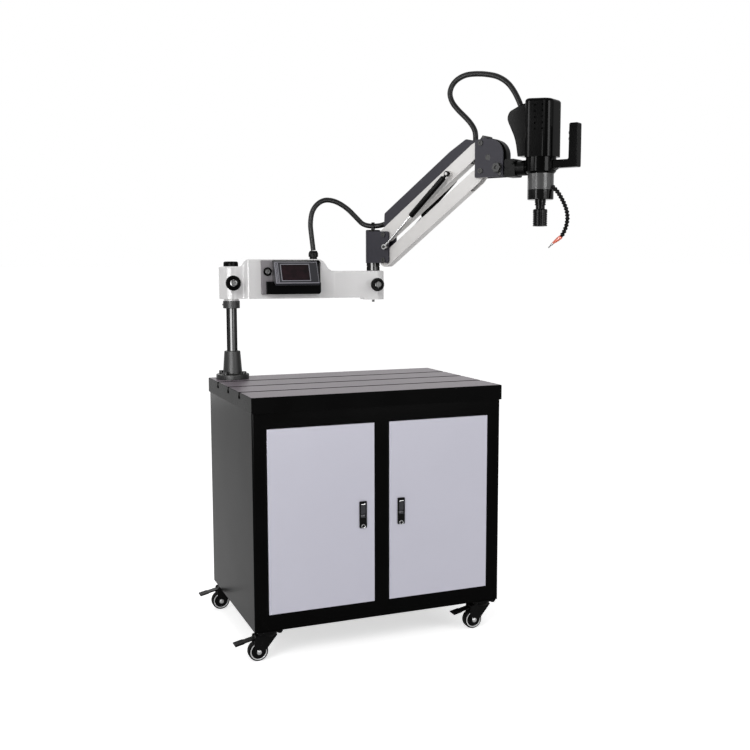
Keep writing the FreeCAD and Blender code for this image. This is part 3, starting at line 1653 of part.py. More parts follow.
def rear_cover():
    """Tapered fin on the arm side of the hood where the hose enters."""
    wall = cover_centre_a - cover_half_length
    outline = [(wall, fin_foot_height, 0), (wall, fin_top_height, 0),
               (fin_top_a, fin_top_height, fin_top_round),
               (fin_shoulder_a, fin_shoulder_height, fin_shoulder_round),
               (fin_belly_a, fin_belly_height, fin_belly_round),
               (fin_waist_a, fin_waist_height, fin_waist_round), (fin_foot_a, fin_foot_height, 0)]
    body = side_slab(outline, -fin_half_width, fin_half_width)
    rim = [e for e in body.Edges if e.BoundBox.YLength < tiny and e.BoundBox.XMin < wall - 2]
    body = softened(body, rim, fin_side_round)
    inner = fin_half_width - fin_side_round
    body = body.cut(box(wall - fin_pocket, wall + 1, -inner, inner, fin_foot_height + fin_side_round,
                        fin_top_height - fin_pocket_top))
    end = vec(*motor_hose_route[-1])
    back = (vec(*motor_hose_route[-2]) - end).normalize()
    socket = rod(hose_radius + hose_socket_play, end - back * fin_wall, back, fin_top_height - end.z
                 + fin_half_width)
    return body.cut(socket)


def handle():
    """L-shaped pull handle with a gusset where it leaves the clamp."""
    w = handle_half_width
    c = handle_corner
    outline = [(handle_root_a, handle_bar_bottom - handle_gusset_drop, 0),
               (handle_root_a + handle_gusset, handle_bar_bottom, c), (handle_end_a, handle_bar_bottom, c),
               (handle_end_a, handle_top, c), (handle_grip_a + 1, handle_top, c),
               (handle_grip_a, handle_bar_top, c), (handle_root_a, handle_bar_top, 0)]
    body = side_slab(outline, -w, w)
    edges = [e for e in body.Edges if e.BoundBox.YLength < tiny and e.BoundBox.XMin > handle_root_a + 1]
    body = softened(body, edges, handle_edge_round)
    for height in (start_button_height, reverse_button_height):
        seat = vec(handle_grip_a + button_depth, 0, height)
        body = body.cut(rod(button_radius + turning_clearance, seat, along * -1,
                            button_depth + handle_grip_a - handle_root_a))
    return body


def handle_button(height):
    free = button_cup
    start = vec(handle_grip_a + button_depth - free, 0, height)
    length = button_depth - free + button_proud
    r = button_radius
    cap = turned([(0, 0), (r, 0), (r, length - 1), (r - 1, length), (0, length)])
    return aimed(cap, start, along * -1)


def spindle():
    """Tapping spindle: motor shaft, neck with a snap groove and the collet socket at its nose."""
    z = nose_bottom
    r = spindle_radius
    n = spindle_nose_radius
    g = spindle_groove
    s = spindle_socket_radius
    top = spindle_top
    deep = spindle_bottom + spindle_socket_depth
    stop = sleeve_top + sleeve_stop_gap
    ring = z - spindle_ring_drop
    m = motor_shaft_radius
    profile = [(0, deep), (s, deep), (s, spindle_bottom), (n, spindle_bottom), (n, stop), (r, stop),
               (r, ring), (r - g, ring), (r - g, ring + g), (r, ring + g), (r, top), (m, top),
               (m, top + motor_shaft), (0, top + motor_shaft)]
    return moved(turned(profile), spindle_a)


def chuck_sleeve():
    """Ribbed quick-change sleeve that slides up the spindle nose to free the collet."""
    r = sleeve_radius
    bore = spindle_nose_radius + sleeve_clearance
    z0, z1 = sleeve_bottom, sleeve_top
    profile = [(bore, z0), (r - 1, z0), (r, z0 + 1)]
    step = (z1 - z0 - sleeve_plain) / sleeve_rib_count
    d = sleeve_rib_depth
    for i in range(sleeve_rib_count):
        base = z0 + sleeve_bevel + 1 + i * step
        crest = base + step * half
        profile += [(r, base), (r - d, base + d * half), (r - d, crest - d * half), (r, crest)]
    profile += [(r, z1 - sleeve_bevel), (r - sleeve_bevel, z1), (bore, z1)]
    body = moved(turned(profile), spindle_a)
    circle = r + sleeve_flute_offset
    for i in range(grip_notches):
        turn = math.radians(full_turn * i / grip_notches)
        foot = vec(spindle_a + circle * math.cos(turn), circle * math.sin(turn), z0 - 1)
        body = body.cut(rod(grip_notch_radius, foot, up, z1 - z0 + 2))
    return body


# coolant line

def route_point(points, share):
    lengths = [math.dist(points[i], points[i + 1]) for i in range(len(points) - 1)]
    target = share * sum(lengths)
    for i, length in enumerate(lengths):
        if target <= length or i == len(lengths) - 1:
            t = target / length
            a, b = points[i], points[i + 1]
            return (a[0] + (b[0] - a[0]) * t, a[1] + (b[1] - a[1]) * t)
        target -= length


def coolant_link(length):
    b, w = coolant_ball_radius, coolant_waist_radius
    lap = length + coolant_lap
    return turned([(0, 0), (w, 0), (b, length * ball_start), (b, length * ball_end), (w, lap), (0, lap)])


def coolant_hose():
    """Chain of ball-and-socket segments, each a ball with a tapered skirt to the next."""
    pieces = []
    for i in range(coolant_steps):
        a, z = route_point(coolant_route, i / coolant_steps)
        a2, z2 = route_point(coolant_route, (i + 1) / coolant_steps)
        place = vec(a, 0, z)
        direction = vec(a2 - a, 0, z2 - z)
        length = direction.Length
        direction.normalize()
        pieces.append(aimed(coolant_link(length), place, direction))
    wall = rod(housing_radius, vec(spindle_a, 0, nose_bottom), up, clamp_ring_top - nose_bottom)
    return joined(pieces).cut(wall)


def between(p, q):
    start = vec(p[0], 0, p[1])
    run = vec(q[0], 0, q[1]) - start
    return start, run


def coolant_nozzle():
    start, run = between(nozzle_root, nozzle_shoulder)
    length = run.Length
    r = nozzle_radius
    e = nozzle_end_radius
    cone = length + nozzle_cone
    body = turned([(0, 0), (r, 0), (r, length * half), (r - 1, length * half + 1), (e + 1, length),
                   (e - 1, cone), (0, cone)])
    return aimed(body, start, run.normalize())


def nozzle_tube():
    start, run = between(nozzle_tip, coolant_tip)
    direction = run.normalize()
    r = coolant_tip_radius
    length = math.dist(nozzle_tip, coolant_tip)
    step = length * half
    body = turned([(0, 0), (2 * r, 0), (2 * r, step - r), (r, step), (r, length), (0, length)])
    return aimed(body, start - direction, direction)


# hoses

def bent_path(points):
    """Straight runs joined by arcs as large as both runs allow; also the arcs' radii."""
    edges = []
    radii = []
    cursor = points[0]
    for i in range(1, len(points) - 1):
        back = points[i - 1] - points[i]
        ahead = points[i + 1] - points[i]
        short = min(back.Length, ahead.Length)
        back.normalize()
        ahead.normalize()
        turn = math.pi - back.getAngle(ahead)
        set_back = bend_share * short
        radius = set_back / math.tan(turn * half)
        first = points[i] + back * set_back
        last = points[i] + ahead * set_back
        bisector = (back + ahead).normalize()
        middle = points[i] + bisector * (radius / math.cos(turn * half) - radius)
        edges.append(Part.LineSegment(cursor, first).toShape())
        edges.append(Part.Arc(first, middle, last).toShape())
        radii.append(round(radius))
        cursor = last
    edges.append(Part.LineSegment(cursor, points[-1]).toShape())
    return Part.Wire(edges), radii


def hose(name, route):
    points = [vec(x, y, z) for x, y, z in route]
    path, radii = bent_path(points)
    start = (points[1] - points[0]).normalize()
    circle = Part.Wire(Part.makeCircle(hose_radius, points[0], start))
    solid = path.makePipeShell([circle], True, False)
    section = math.pi * hose_radius ** 2
    print(name, "length", round(path.Length), "radii", radii, "volume share",
          round(solid.Volume / (section * path.Length), 4))
    return solid


# all nodes

def arm_1_nodes():
    swivel_knob = lock_knob(0, knob_height, knob_seat, knob_ring_front, knob_ring_radius,
                            column_radius)
    elbow_knob = lock_knob(arm_1_length, elbow_knob_height, elbow_knob_seat, elbow_ring_front,
                           elbow_ring_radius, journal_radius)
    return {
        "arm_casting": arm_casting(), "column_cap": column_cap(),
        "swivel_lock_knob": swivel_knob, "elbow_lock_knob": elbow_knob,
        "control_panel": control_panel(), "screen_bezel": screen_bezel(),
        "touch_screen": touch_screen(), "power_switch": power_switch(), "cable_gland": cable_gland(),
        "elbow_hose": hose("elbow_hose", elbow_hose_route)}


def arm_2_nodes():
    upper = place_link(group([link_tube()] + upper_spring_studs()), upper_pin_height)
    lower = place_link(link_tube(), lower_pin_height)
    return {
        "elbow_post": elbow_post(), "elbow_bracket": group([elbow_bracket(), hose_clip()]),
        "elbow_pins": elbow_pins(),
        "upper_link": upper, "lower_link": lower,
        "cable_cover": place_link(cable_cover(), upper_pin_height),
        "gas_spring_rods": gas_spring_rods(),
        "gas_spring_cylinders": gas_spring_cylinders(),
        "wrist_bracket": wrist_bracket(), "wrist_pins": wrist_pins(),
        "tilt_lock_knob": tilt_lock_knob(), "tilt_arm": group([tilt_arm(), roll_plunger()]),
        "head_clamp": group([head_clamp(), handle()]),
        "spindle_housing": group([spindle_housing(), nose_ring()]),
        "motor_covers": group([motor_cover(), rear_cover()]), "spindle_motor": spindle_motor(),
        "start_button": handle_button(start_button_height),
        "reverse_button": handle_button(reverse_button_height), "spindle": spindle(),
        "chuck_sleeve": chuck_sleeve(), "coolant_hose": coolant_hose(),
        "coolant_nozzle": joined([coolant_nozzle(), nozzle_tube()]),
        "cover_hose": hose("cover_hose", cover_hose_route),
        "bow_hose": hose("bow_hose", bow_hose_route),
        "motor_hose": hose("motor_hose", motor_hose_route)}


def base_nodes():
    nodes = {"cabinet_carcass": cabinet_carcass(), "t_slot_table": t_slot_table(),
             "column_flange": column_flange(), "flange_bolts": flange_bolts(), "column": column(),
             "column_collar": group([column_collar(), collar_screw()])}
    for side, name in ((-1, "left"), (1, "right")):
        nodes[name + "_door"] = door(side)
        nodes[name + "_lock_housing"] = lock_housing(side)
        nodes[name + "_lock_lever"] = lock_lever(side)
    return nodes


def caster_nodes():
    nodes = {"caster_mounts": group([caster_mount(side, end) for side in (-1, 1) for end in (-1, 1)])}
    fork, wheel, pedal = caster_fork(), caster_wheel(), brake_pedal()
    for side, end, name in ((-1, -1, "front_left"), (1, -1, "front_right"), (-1, 1, "back_left"),
                            (1, 1, "back_right")):
        x, y = side * caster_x, end * caster_y
        nodes["fork_" + name] = moved(fork, x, y)
        nodes["wheel_" + name] = moved(wheel, x, y)
        nodes["pedal_" + name] = moved(pedal, x, y)
    return nodes


def build():
    os.makedirs("parts", exist_ok=True)
    for name, shape in base_nodes().items():
        write(name, shape)
    for name, shape in caster_nodes().items():
        write(name, shape)
    for name, shape in arm_1_nodes().items():
        write(name, place_arm_1(shape))
    for name, shape in arm_2_nodes().items():
        write(name, place_arm_2(shape))


build()
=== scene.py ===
import json
import math

import bpy
from mathutils import Matrix, Vector


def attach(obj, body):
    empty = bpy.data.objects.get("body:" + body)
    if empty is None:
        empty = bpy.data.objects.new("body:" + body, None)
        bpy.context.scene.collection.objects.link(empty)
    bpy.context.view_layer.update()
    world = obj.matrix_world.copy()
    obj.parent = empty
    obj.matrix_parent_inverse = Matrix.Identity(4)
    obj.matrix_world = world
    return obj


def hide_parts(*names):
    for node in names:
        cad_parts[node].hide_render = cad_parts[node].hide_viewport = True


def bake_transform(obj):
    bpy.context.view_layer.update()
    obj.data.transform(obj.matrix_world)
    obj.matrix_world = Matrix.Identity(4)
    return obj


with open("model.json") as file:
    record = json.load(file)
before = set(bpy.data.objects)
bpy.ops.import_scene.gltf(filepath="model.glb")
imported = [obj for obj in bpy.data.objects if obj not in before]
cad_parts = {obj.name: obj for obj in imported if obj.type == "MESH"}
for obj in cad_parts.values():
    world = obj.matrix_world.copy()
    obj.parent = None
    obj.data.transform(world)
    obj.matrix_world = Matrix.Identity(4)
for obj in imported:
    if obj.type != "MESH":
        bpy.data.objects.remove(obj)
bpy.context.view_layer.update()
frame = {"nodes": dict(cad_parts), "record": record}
print("Frame loaded:", len(frame["nodes"]), "nodes")

mm = 0.001
full = 2 * math.pi
tiny = 1e-6  # points nearer than this are one
firstArm = {"place": (-0.290, 0.192, 0.684), "turn": -6.5}  # swivel axis of the first arm
secondArm = {"place": (0.1273, 0.14445, 0.684), "turn": -58.0}  # elbow axis of the second arm


# small tools

def clearSelection():
    bpy.ops.object.select_all(action="DESELECT")


def makeActive(piece):
    clearSelection()
    piece.select_set(True)
    bpy.context.view_layer.objects.active = piece


def applyPlace(piece):
    makeActive(piece)
    bpy.ops.object.transform_apply(location=True, rotation=True, scale=True)
    return piece


def editAll(piece):
    makeActive(piece)
    bpy.ops.object.mode_set(mode="EDIT")
    bpy.ops.mesh.select_all(action="SELECT")


def leaveEdit():
    bpy.ops.object.mode_set(mode="OBJECT")


# Leaves only the edges that pass a test selected, in edit mode
def chooseEdges(piece, test):
    editAll(piece)
    bpy.ops.mesh.select_mode(type="EDGE")
    bpy.ops.mesh.select_all(action="DESELECT")
    leaveEdit()
    for edge in piece.data.edges:
        a, b = [piece.data.vertices[i].co for i in edge.vertices]
        edge.select = test(a, b)
    bpy.ops.object.mode_set(mode="EDIT")


def armMatrix(arm):
    return Matrix.Translation(arm["place"]) @ Matrix.Rotation(math.radians(arm["turn"]), 4, "Z")


def ontoArm(piece, arm):
    piece.matrix_world = armMatrix(arm) @ piece.matrix_world
    return applyPlace(piece)


# Turns a piece drawn along +Z to a direction, its foot at a place
def aimPiece(piece, place, direction):
    turn = Vector(direction).to_track_quat("Z", "Y").to_matrix().to_4x4()
    piece.matrix_world = Matrix.Translation(Vector(place)) @ turn
    return applyPlace(piece)


def applyModifiers(piece):
    makeActive(piece)
    for modifier in list(piece.modifiers):
        bpy.ops.object.modifier_apply(modifier=modifier.name)


def roundEdges(piece, width, steps=3, angle=30):
    bevel = piece.modifiers.new("edge", "BEVEL")
    bevel.width = width
    bevel.segments = steps
    bevel.limit_method = "ANGLE"
    bevel.angle_limit = math.radians(angle)
    bevel.harden_normals = False
    applyModifiers(piece)
    return piece


def smoothShade(piece, angle=35):
    makeActive(piece)
    bpy.ops.object.shade_smooth_by_angle(angle=math.radians(angle))
    level = piece.modifiers.new("level", "WEIGHTED_NORMAL")  # broad faces stay flat
    level.keep_sharp = True
    applyModifiers(piece)
    return piece


def giveFinish(piece, finish):
    piece.data.materials.clear()
    piece.data.materials.append(finish)
    return piece


def copyPiece(piece, name):
    twin = bpy.data.objects.new(name, piece.data.copy())
    bpy.context.scene.collection.objects.link(twin)
    return twin


def joinPieces(pieces, name):
    clearSelection()
    for piece in pieces:
        piece.select_set(True)
    bpy.context.view_layer.objects.active = pieces[0]
    bpy.ops.object.join()
    pieces[0].name = name
    return pieces[0]


def cutAway(piece, cutters):
    for cutter in cutters:
        cut = piece.modifiers.new("cut", "BOOLEAN")
        cut.operation = "DIFFERENCE"
        cut.solver = "EXACT"
        cut.object = cutter
        applyModifiers(piece)
        bpy.data.objects.remove(cutter)
    return piece


# Solid of revolution about Z, grown ring by ring from a circle
def turnedPiece(name, rings, sides=64, ringShaped=False):
    clearSelection()
    (radius, height) = rings[0]
    bpy.ops.mesh.primitive_circle_add(vertices=sides, radius=radius * mm,
                                      fill_type="NOTHING" if ringShaped else "NGON",
                                      location=(0, 0, height * mm))
    piece = bpy.context.object
    piece.name = name
    applyPlace(piece)
    editAll(piece)
    for (r0, z0), (r1, z1) in zip(rings, rings[1:]):
        bpy.ops.mesh.extrude_region_move(TRANSFORM_OT_translate={"value": (0, 0, (z1 - z0) * mm)})
        if abs(r1 - r0) > tiny:
            bpy.ops.transform.resize(value=(r1 / r0, r1 / r0, 1), center_override=(0, 0, z1 * mm))
    bpy.ops.mesh.select_all(action="SELECT")
    bpy.ops.mesh.remove_doubles(threshold=tiny)
    bpy.ops.mesh.normals_make_consistent(inside=False)
    leaveEdit()
    return piece


def blockPiece(name, x, y, z):  # box between pairs of coordinates in millimetres
    clearSelection()
    centre = [(a + b) / 2 * mm for a, b in (x, y, z)]
    bpy.ops.mesh.primitive_cube_add(size=1, location=centre)
    piece = bpy.context.object
    piece.name = name
    piece.scale = [abs(b - a) * mm for a, b in (x, y, z)]
    return applyPlace(piece)


def rodPiece(name, radius, start, direction, length, sides=32):
    clearSelection()
    bpy.ops.mesh.primitive_cylinder_add(vertices=sides, radius=radius * mm, depth=length * mm,
                                        location=(0, 0, length * mm / 2))
    piece = bpy.context.object
    piece.name = name
    applyPlace(piece)
    return aimPiece(piece, Vector(start) * mm, direction)


dressSettings = {"flat": 0.6, "steps": 2, "edgeAngle": 30, "smoothAngle": 40}


# A copy of a CAD node with its triangles merged, its edges eased and its curves smooth
def dressNode(node, finish, edge, settings):
    source = frame["nodes"][node]
    piece = bpy.data.objects.new(node + "Skin", source.data.copy())
    bpy.context.scene.collection.objects.link(piece)
    editAll(piece)
    bpy.ops.mesh.remove_doubles(threshold=tiny)
    bpy.ops.mesh.dissolve_limited(angle_limit=math.radians(settings["flat"]))
    leaveEdit()
    if edge:
        roundEdges(piece, edge * mm, settings["steps"], settings["edgeAngle"])
    smoothShade(piece, settings["smoothAngle"])
    giveFinish(piece, finish)
    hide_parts(node)
    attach(piece, bodyOf[node])
    return piece


bodyOf = {}
for bodyName, members in frame["record"]["behaviour"]["bodies"].items():
    for member in members:
        bodyOf[member] = bodyName


# camera, studio and floor

cameraSettings = {"place": (-0.971, -2.6131, 1.0174), "turn": (83.52, -0.12, -21.81),
                  "lens": 47.9, "sensor": 36.0}


def makeCamera(settings):
    data = bpy.data.cameras.new("mainCamera")
    data.lens = settings["lens"]
    data.sensor_width = settings["sensor"]
    camera = bpy.data.objects.new("mainCamera", data)
    camera.location = settings["place"]
    tilt, roll, heading = [math.radians(a) for a in settings["turn"]]
    camera.rotation_euler = (Matrix.Rotation(heading, 3, "Z") @ Matrix.Rotation(tilt, 3, "X")
                             @ Matrix.Rotation(roll, 3, "Z")).to_euler()
    bpy.context.scene.collection.objects.link(camera)
    bpy.context.scene.camera = camera


studioSettings = {
    "ambient": 0.5,
    "lamps": [  # name, place, size, power, aimed at
        ("keyLamp", (-2.6, -2.4, 2.6), (1.6, 1.6), 58.0, (0.0, 0.0, 0.8)),
        ("fillLamp", (2.8, -2.6, 1.8), (1.8, 1.8), 26.0, (0.0, 0.0, 0.8)),
        ("topLamp", (0.0, 0.4, 3.4), (2.6, 2.6), 16.0, (0.0, 0.0, 0.7))],
    "glints": [  # the same, for lamps that only show as reflections
        ("leftHigh", (-1.02, -0.82, 1.3), (0.26, 0.5), 10.5, (0.4, -0.3, 1.2)),
        ("leftLow", (-0.915, -0.89, 0.75), (0.85, 0.6), 45.0, (-0.29, 0.19, 0.85)),
        ("rightHigh", (0.75, -2.03, 1.55), (0.8, 0.5), 36.0, (0.2, 0.0, 1.2)),
        ("rightLow", (0.75, -2.03, 0.85), (0.9, 0.8), 19.0, (-0.1, 0.0, 0.85)),
        ("hoodStrip", (-2.34, 0.18, 1.78), (1.2, 0.5), 46.0, (0.41, -0.32, 1.36)),
        ("hoodGlow", (-2.3, -0.55, 1.7), (1.0, 1.0), 3.0, (0.41, -0.32, 1.36)),
        ("backGlow", (-0.35, 3.0, 1.1), (1.4, 1.8), 10.0, (-0.2, 0.0, 0.6))]}

glintNames = [glint[0] for glint in studioSettings["glints"]]


# Nodes that give 1 for what the camera sees, straight or in a reflection, and 0 for other rays
def seenRays(nodes, links):
    path = nodes.new("ShaderNodeLightPath")
    seen = nodes.new("ShaderNodeMath")
    seen.operation = "MAXIMUM"
    links.new(path.outputs["Is Camera Ray"], seen.inputs[0])
    links.new(path.outputs["Is Glossy Ray"], seen.inputs[1])
    return path, seen


def makeStudio(settings):
    world = bpy.data.worlds.new("studioWorld")
    bpy.context.scene.world = world
    world.use_nodes = True
    nodes, links = world.node_tree.nodes, world.node_tree.links
    back = nodes["Background"]
    back.inputs["Color"].default_value = (1, 1, 1, 1)
    path, seen = seenRays(nodes, links)
    through = nodes.new("ShaderNodeMath")
    through.operation = "MAXIMUM"
    links.new(seen.outputs[0], through.inputs[0])
    links.new(path.outputs["Is Transmission Ray"], through.inputs[1])
    level = nodes.new("ShaderNodeMapRange")
    level.inputs["To Min"].default_value = settings["ambient"]
    level.inputs["To Max"].default_value = 1.0
    links.new(through.outputs[0], level.inputs["Value"])
    links.new(level.outputs["Result"], back.inputs["Strength"])
    for name, place, size, power, target in settings["lamps"] + settings["glints"]:
        data = bpy.data.lights.new(name, "AREA")
        data.shape = "RECTANGLE"
        data.size, data.size_y = size
        data.energy = power
        lamp = bpy.data.objects.new(name, data)
        lamp.location = place
        lamp.rotation_euler = (Vector(target) - Vector(place)).to_track_quat("-Z", "Y").to_euler()
        bpy.context.scene.collection.objects.link(lamp)
        lamp.visible_camera = False
        lamp.visible_diffuse = name not in glintNames
    bpy.context.scene.view_settings.view_transform = "Standard"


floorSettings = {"size": 400, "tone": 0.86, "rough": 0.9, "glow": 0.62}


def makeFloor(settings):
    clearSelection()
    bpy.ops.mesh.primitive_plane_add(size=settings["size"], location=(0, 0, 0))
    floor = bpy.context.object
    floor.name = "studioFloor"
    paint = bpy.data.materials.new("floorPaint")
    paint.use_nodes = True
    nodes, links = paint.node_tree.nodes, paint.node_tree.links
    shader = nodes["Principled BSDF"]
    shader.inputs["Base Color"].default_value = (*[settings["tone"]] * 3, 1)
    shader.inputs["Roughness"].default_value = settings["rough"]
    shader.inputs["Specular IOR Level"].default_value = 0.0
    seen = seenRays(nodes, links)[1]
    level = nodes.new("ShaderNodeMath")
    level.operation = "MULTIPLY"
    level.inputs[1].default_value = settings["glow"]
    links.new(seen.outputs[0], level.inputs[0])
    glow = nodes.new("ShaderNodeEmission")
    links.new(level.outputs[0], glow.inputs["Strength"])
    both = nodes.new("ShaderNodeAddShader")
    links.new(shader.outputs[0], both.inputs[0])
    links.new(glow.outputs[0], both.inputs[1])
    links.new(both.outputs[0], nodes["Material Output"].inputs["Surface"])
    giveFinish(floor, paint)


makeCamera(cameraSettings)
makeStudio(studioSettings)
makeFloor(floorSettings)
print("Camera, lamps and floor ready")


# finishes

plainLook = {"metal": 0.0, "specular": 0.5, "edge": (1, 1, 1), "coat": 0.0, "coatRough": 0.1,
             "stretch": (1, 1, 1), "cloudScale": 9.0, "cloudDetail": 4.0, "grain": 0.1,
             "grainScale": 900.0, "grainDetail": 3.0, "grainDepth": 0.0004}


# Paint, metal or plastic whose tone, gloss and surface all vary a little over the piece
def newFinish(name, look):
    look = {**plainLook, **look}
    finish = bpy.data.materials.new(name)
    finish.use_nodes = True
    nodes, links = finish.node_tree.nodes, finish.node_tree.links
    shader = nodes["Principled BSDF"]
    shader.inputs["Metallic"].default_value = look["metal"]
    shader.inputs["Specular IOR Level"].default_value = look["specular"]
    shader.inputs["Specular Tint"].default_value = (*look["edge"], 1)
    shader.inputs["Coat Weight"].default_value = look["coat"]
    shader.inputs["Coat Roughness"].default_value = look["coatRough"]
    place = nodes.new("ShaderNodeTexCoord")
    stretch = nodes.new("ShaderNodeMapping")
    stretch.inputs["Scale"].default_value = look["stretch"]
    links.new(place.outputs["Object"], stretch.inputs["Vector"])
    cloud = nodes.new("ShaderNodeTexNoise")
    cloud.inputs["Scale"].default_value = look["cloudScale"]
    cloud.inputs["Detail"].default_value = look["cloudDetail"]
    links.new(stretch.outputs["Vector"], cloud.inputs["Vector"])
    tone = nodes.new("ShaderNodeValToRGB")
    tone.color_ramp.elements[0].position = 0.3
    tone.color_ramp.elements[1].position = 0.7
    tone.color_ramp.elements[0].color = (*look["dark"], 1)
    tone.color_ramp.elements[1].color = (*look["light"], 1)
    links.new(cloud.outputs["Fac"], tone.inputs["Fac"])
    links.new(tone.outputs["Color"], shader.inputs["Base Color"])
    gloss = nodes.new("ShaderNodeMapRange")
    gloss.inputs["To Min"].default_value = look["rough"][0]
    gloss.inputs["To Max"].default_value = look["rough"][1]
    links.new(cloud.outputs["Fac"], gloss.inputs["Value"])
    links.new(gloss.outputs["Result"], shader.inputs["Roughness"])
    grain = nodes.new("ShaderNodeTexNoise")
    grain.inputs["Scale"].default_value = look["grainScale"]
    grain.inputs["Detail"].default_value = look["grainDetail"]
    links.new(stretch.outputs["Vector"], grain.inputs["Vector"])
    relief = nodes.new("ShaderNodeBump")
    relief.inputs["Strength"].default_value = look["grain"]
    relief.inputs["Distance"].default_value = look["grainDepth"]
    links.new(grain.outputs["Fac"], relief.inputs["Height"])
    links.new(relief.outputs["Normal"], shader.inputs["Normal"])
    return finish


def tint(*screen):  # linear colour of a screen colour from 0 to 255
    channel = [level / 255 for level in screen]
    return tuple(((c + 0.055) / 1.055) ** 2.4 if c > 0.04045 else c / 12.92 for c in channel)


def grey(level):
    return tint(level, level, level)


looks = {
    "castWhite": {"dark": tint(213, 212, 212), "light": tint(219, 218, 218), "rough": (0.2, 0.28),
                  "coat": 0.1, "coatRough": 0.14, "specular": 0.12, "grain": 0.05,
                  "grainScale": 260.0},
    "linkWhite": {"dark": tint(206, 204, 202), "light": tint(213, 211, 209), "rough": (0.34, 0.44),
                  "grain": 0.1, "grainScale": 1400.0, "specular": 0.3},
    "slatePowder": {"dark": tint(48, 47, 54), "light": tint(54, 53, 60), "rough": (0.42, 0.55),
                    "grain": 0.25, "grainScale": 1500.0, "specular": 0.07},
    "stripGrey": {"dark": tint(96, 92, 96), "light": tint(106, 102, 106), "rough": (0.35, 0.45),
                  "grain": 0.15, "grainScale": 1800.0, "specular": 0.25},
    "bezelSlate": {"dark": tint(36, 36, 40), "light": tint(44, 44, 48), "rough": (0.26, 0.34),
                   "grain": 0.1, "grainScale": 1500.0, "specular": 0.2},
    "cabinetBlack": {"dark": grey(3), "light": grey(5), "rough": (0.2, 0.26), "grain": 0.08,
                     "grainScale": 1300.0, "specular": 0.016},
    "doorGrey": {"dark": tint(193, 192, 204), "light": tint(196, 195, 207), "rough": (0.4, 0.46),
                 "grain": 0.1, "grainScale": 1500.0, "specular": 0.2, "cloudScale": 3.0},
    "tablePlate": {"dark": tint(104, 96, 103), "light": tint(114, 106, 112), "rough": (0.3, 0.38),
                   "stretch": (0.2, 1, 1), "grainScale": 1500.0, "grain": 0.3,
                   "cloudScale": 90.0, "specular": 0.1},
    "tableEdge": {"dark": grey(6), "light": grey(9), "rough": (0.24, 0.32), "grainScale": 1400.0,
                  "grain": 0.1, "specular": 0.02},
    "glossBlack": {"dark": grey(3), "light": grey(5), "rough": (0.1, 0.16), "grain": 0.02,
                   "specular": 0.026},
    "spindleBlack": {"dark": grey(3), "light": grey(5), "rough": (0.1, 0.16), "grain": 0.02,
                     "specular": 0.07},
    "matteBlack": {"dark": grey(6), "light": grey(10), "rough": (0.3, 0.4), "grain": 0.12,
                   "specular": 0.04},
    "blackOxide": {"dark": grey(15), "light": grey(22), "rough": (0.4, 0.5), "grain": 0.12,
                   "specular": 0.18},
    # painted dark reflection: a near-black base and a black edge tint make this chrome show dark
    # where it mirrors the white studio
    "chrome": {"dark": grey(40), "light": grey(48), "rough": (0.16, 0.2), "metal": 1.0,
               "grain": 0.01, "grainScale": 500.0, "edge": (0.02, 0.02, 0.02)},
    "knobChrome": {"dark": grey(70), "light": grey(80), "rough": (0.18, 0.24), "metal": 1.0,
                   "grain": 0.02, "edge": (0.1, 0.1, 0.1)},
    "brightChrome": {"dark": grey(164), "light": grey(180), "rough": (0.12, 0.18), "metal": 1.0,
                     "grain": 0.03, "edge": (0.2, 0.2, 0.2)},
    "zincSteel": {"dark": grey(128), "light": grey(150), "rough": (0.28, 0.38), "metal": 1.0,
                  "grain": 0.12, "edge": (0.2, 0.2, 0.2)},
    "housingGrey": {"dark": grey(66), "light": grey(72), "rough": (0.2, 0.26), "grain": 0.04,
                    "specular": 0.13},
    "tyreRubber": {"dark": grey(6), "light": grey(9), "rough": (0.5, 0.65), "grain": 0.25,
                   "specular": 0.03},
    "ringGrey": {"dark": grey(212), "light": grey(224), "rough": (0.35, 0.45), "grain": 0.1},
    "hoseBlack": {"dark": grey(8), "light": grey(13), "rough": (0.3, 0.4), "grain": 0.2,
                  "grainScale": 1200.0, "specular": 0.12},
    "nozzleOrange": {"dark": (0.55, 0.075, 0.03), "light": (0.68, 0.12, 0.05), "rough": (0.3, 0.4),
                     "grain": 0.1},
    "screenGlass": {"dark": tint(15, 8, 11), "light": tint(34, 18, 23), "rough": (0.04, 0.08),
                    "grain": 0.0, "specular": 0.1, "cloudScale": 60.0},
    "silverTrim": {"dark": tint(128, 127, 134), "light": tint(146, 145, 152),
                   "rough": (0.25, 0.35), "metal": 0.8, "grain": 0.1}}
finishes = {name: newFinish(name, look) for name, look in looks.items()}
print("Finishes mixed:", len(finishes))


# hoses

hoseSettings = {"radius": 7.5, "ribDepth": 0.5, "ribPitch": 3.2, "spacing": 0.8, "sides": 20,
                "shortest": 90}
halfGap = 0.4  # between two hoses that meet in line
clipTurn = math.radians(firstArm["turn"] - secondArm["turn"]) / 2  # halfway between the arms


def inClip(start, run):  # a point on the clip's axis, in either arm's own frame
    return (start + run * math.cos(clipTurn), abs(run) * math.sin(clipTurn), 437.5)


elbowRoute = [(240, 0, 366), (235, 0, 408), (231, 0, 446), (239, 0, 486), (268, 0, 512),
              (304, 1, 510), (341, 3, 490), (372, 8, 461), inClip(420, -26), inClip(420, -halfGap)]
coverRoute = [inClip(0, halfGap), inClip(0, 16), (36, 5, 441), (54, 0, 445.5)]
bowRoute = [(346, 0, 655), (347, 0, 676), (340, 0, 694), (326, 0, 712), (308, 0, 729),
            (288, 0, 747), (269, 0, 769), (261, 0, 795), (274, 0, 820), (300, 0, 834),
            (331, 0, 838), (362 - halfGap, 0, 834)]
motorRoute = [(362 + halfGap, 0, 834), (392, 0, 829), (421, 0, 818), (446, 0, 800), (464, 0, 776),
              (477, 0, 752), (488, 0, 727)]


def worldRoute(route, arm):
    return [armMatrix(arm) @ (Vector(p) * mm) for p in route]


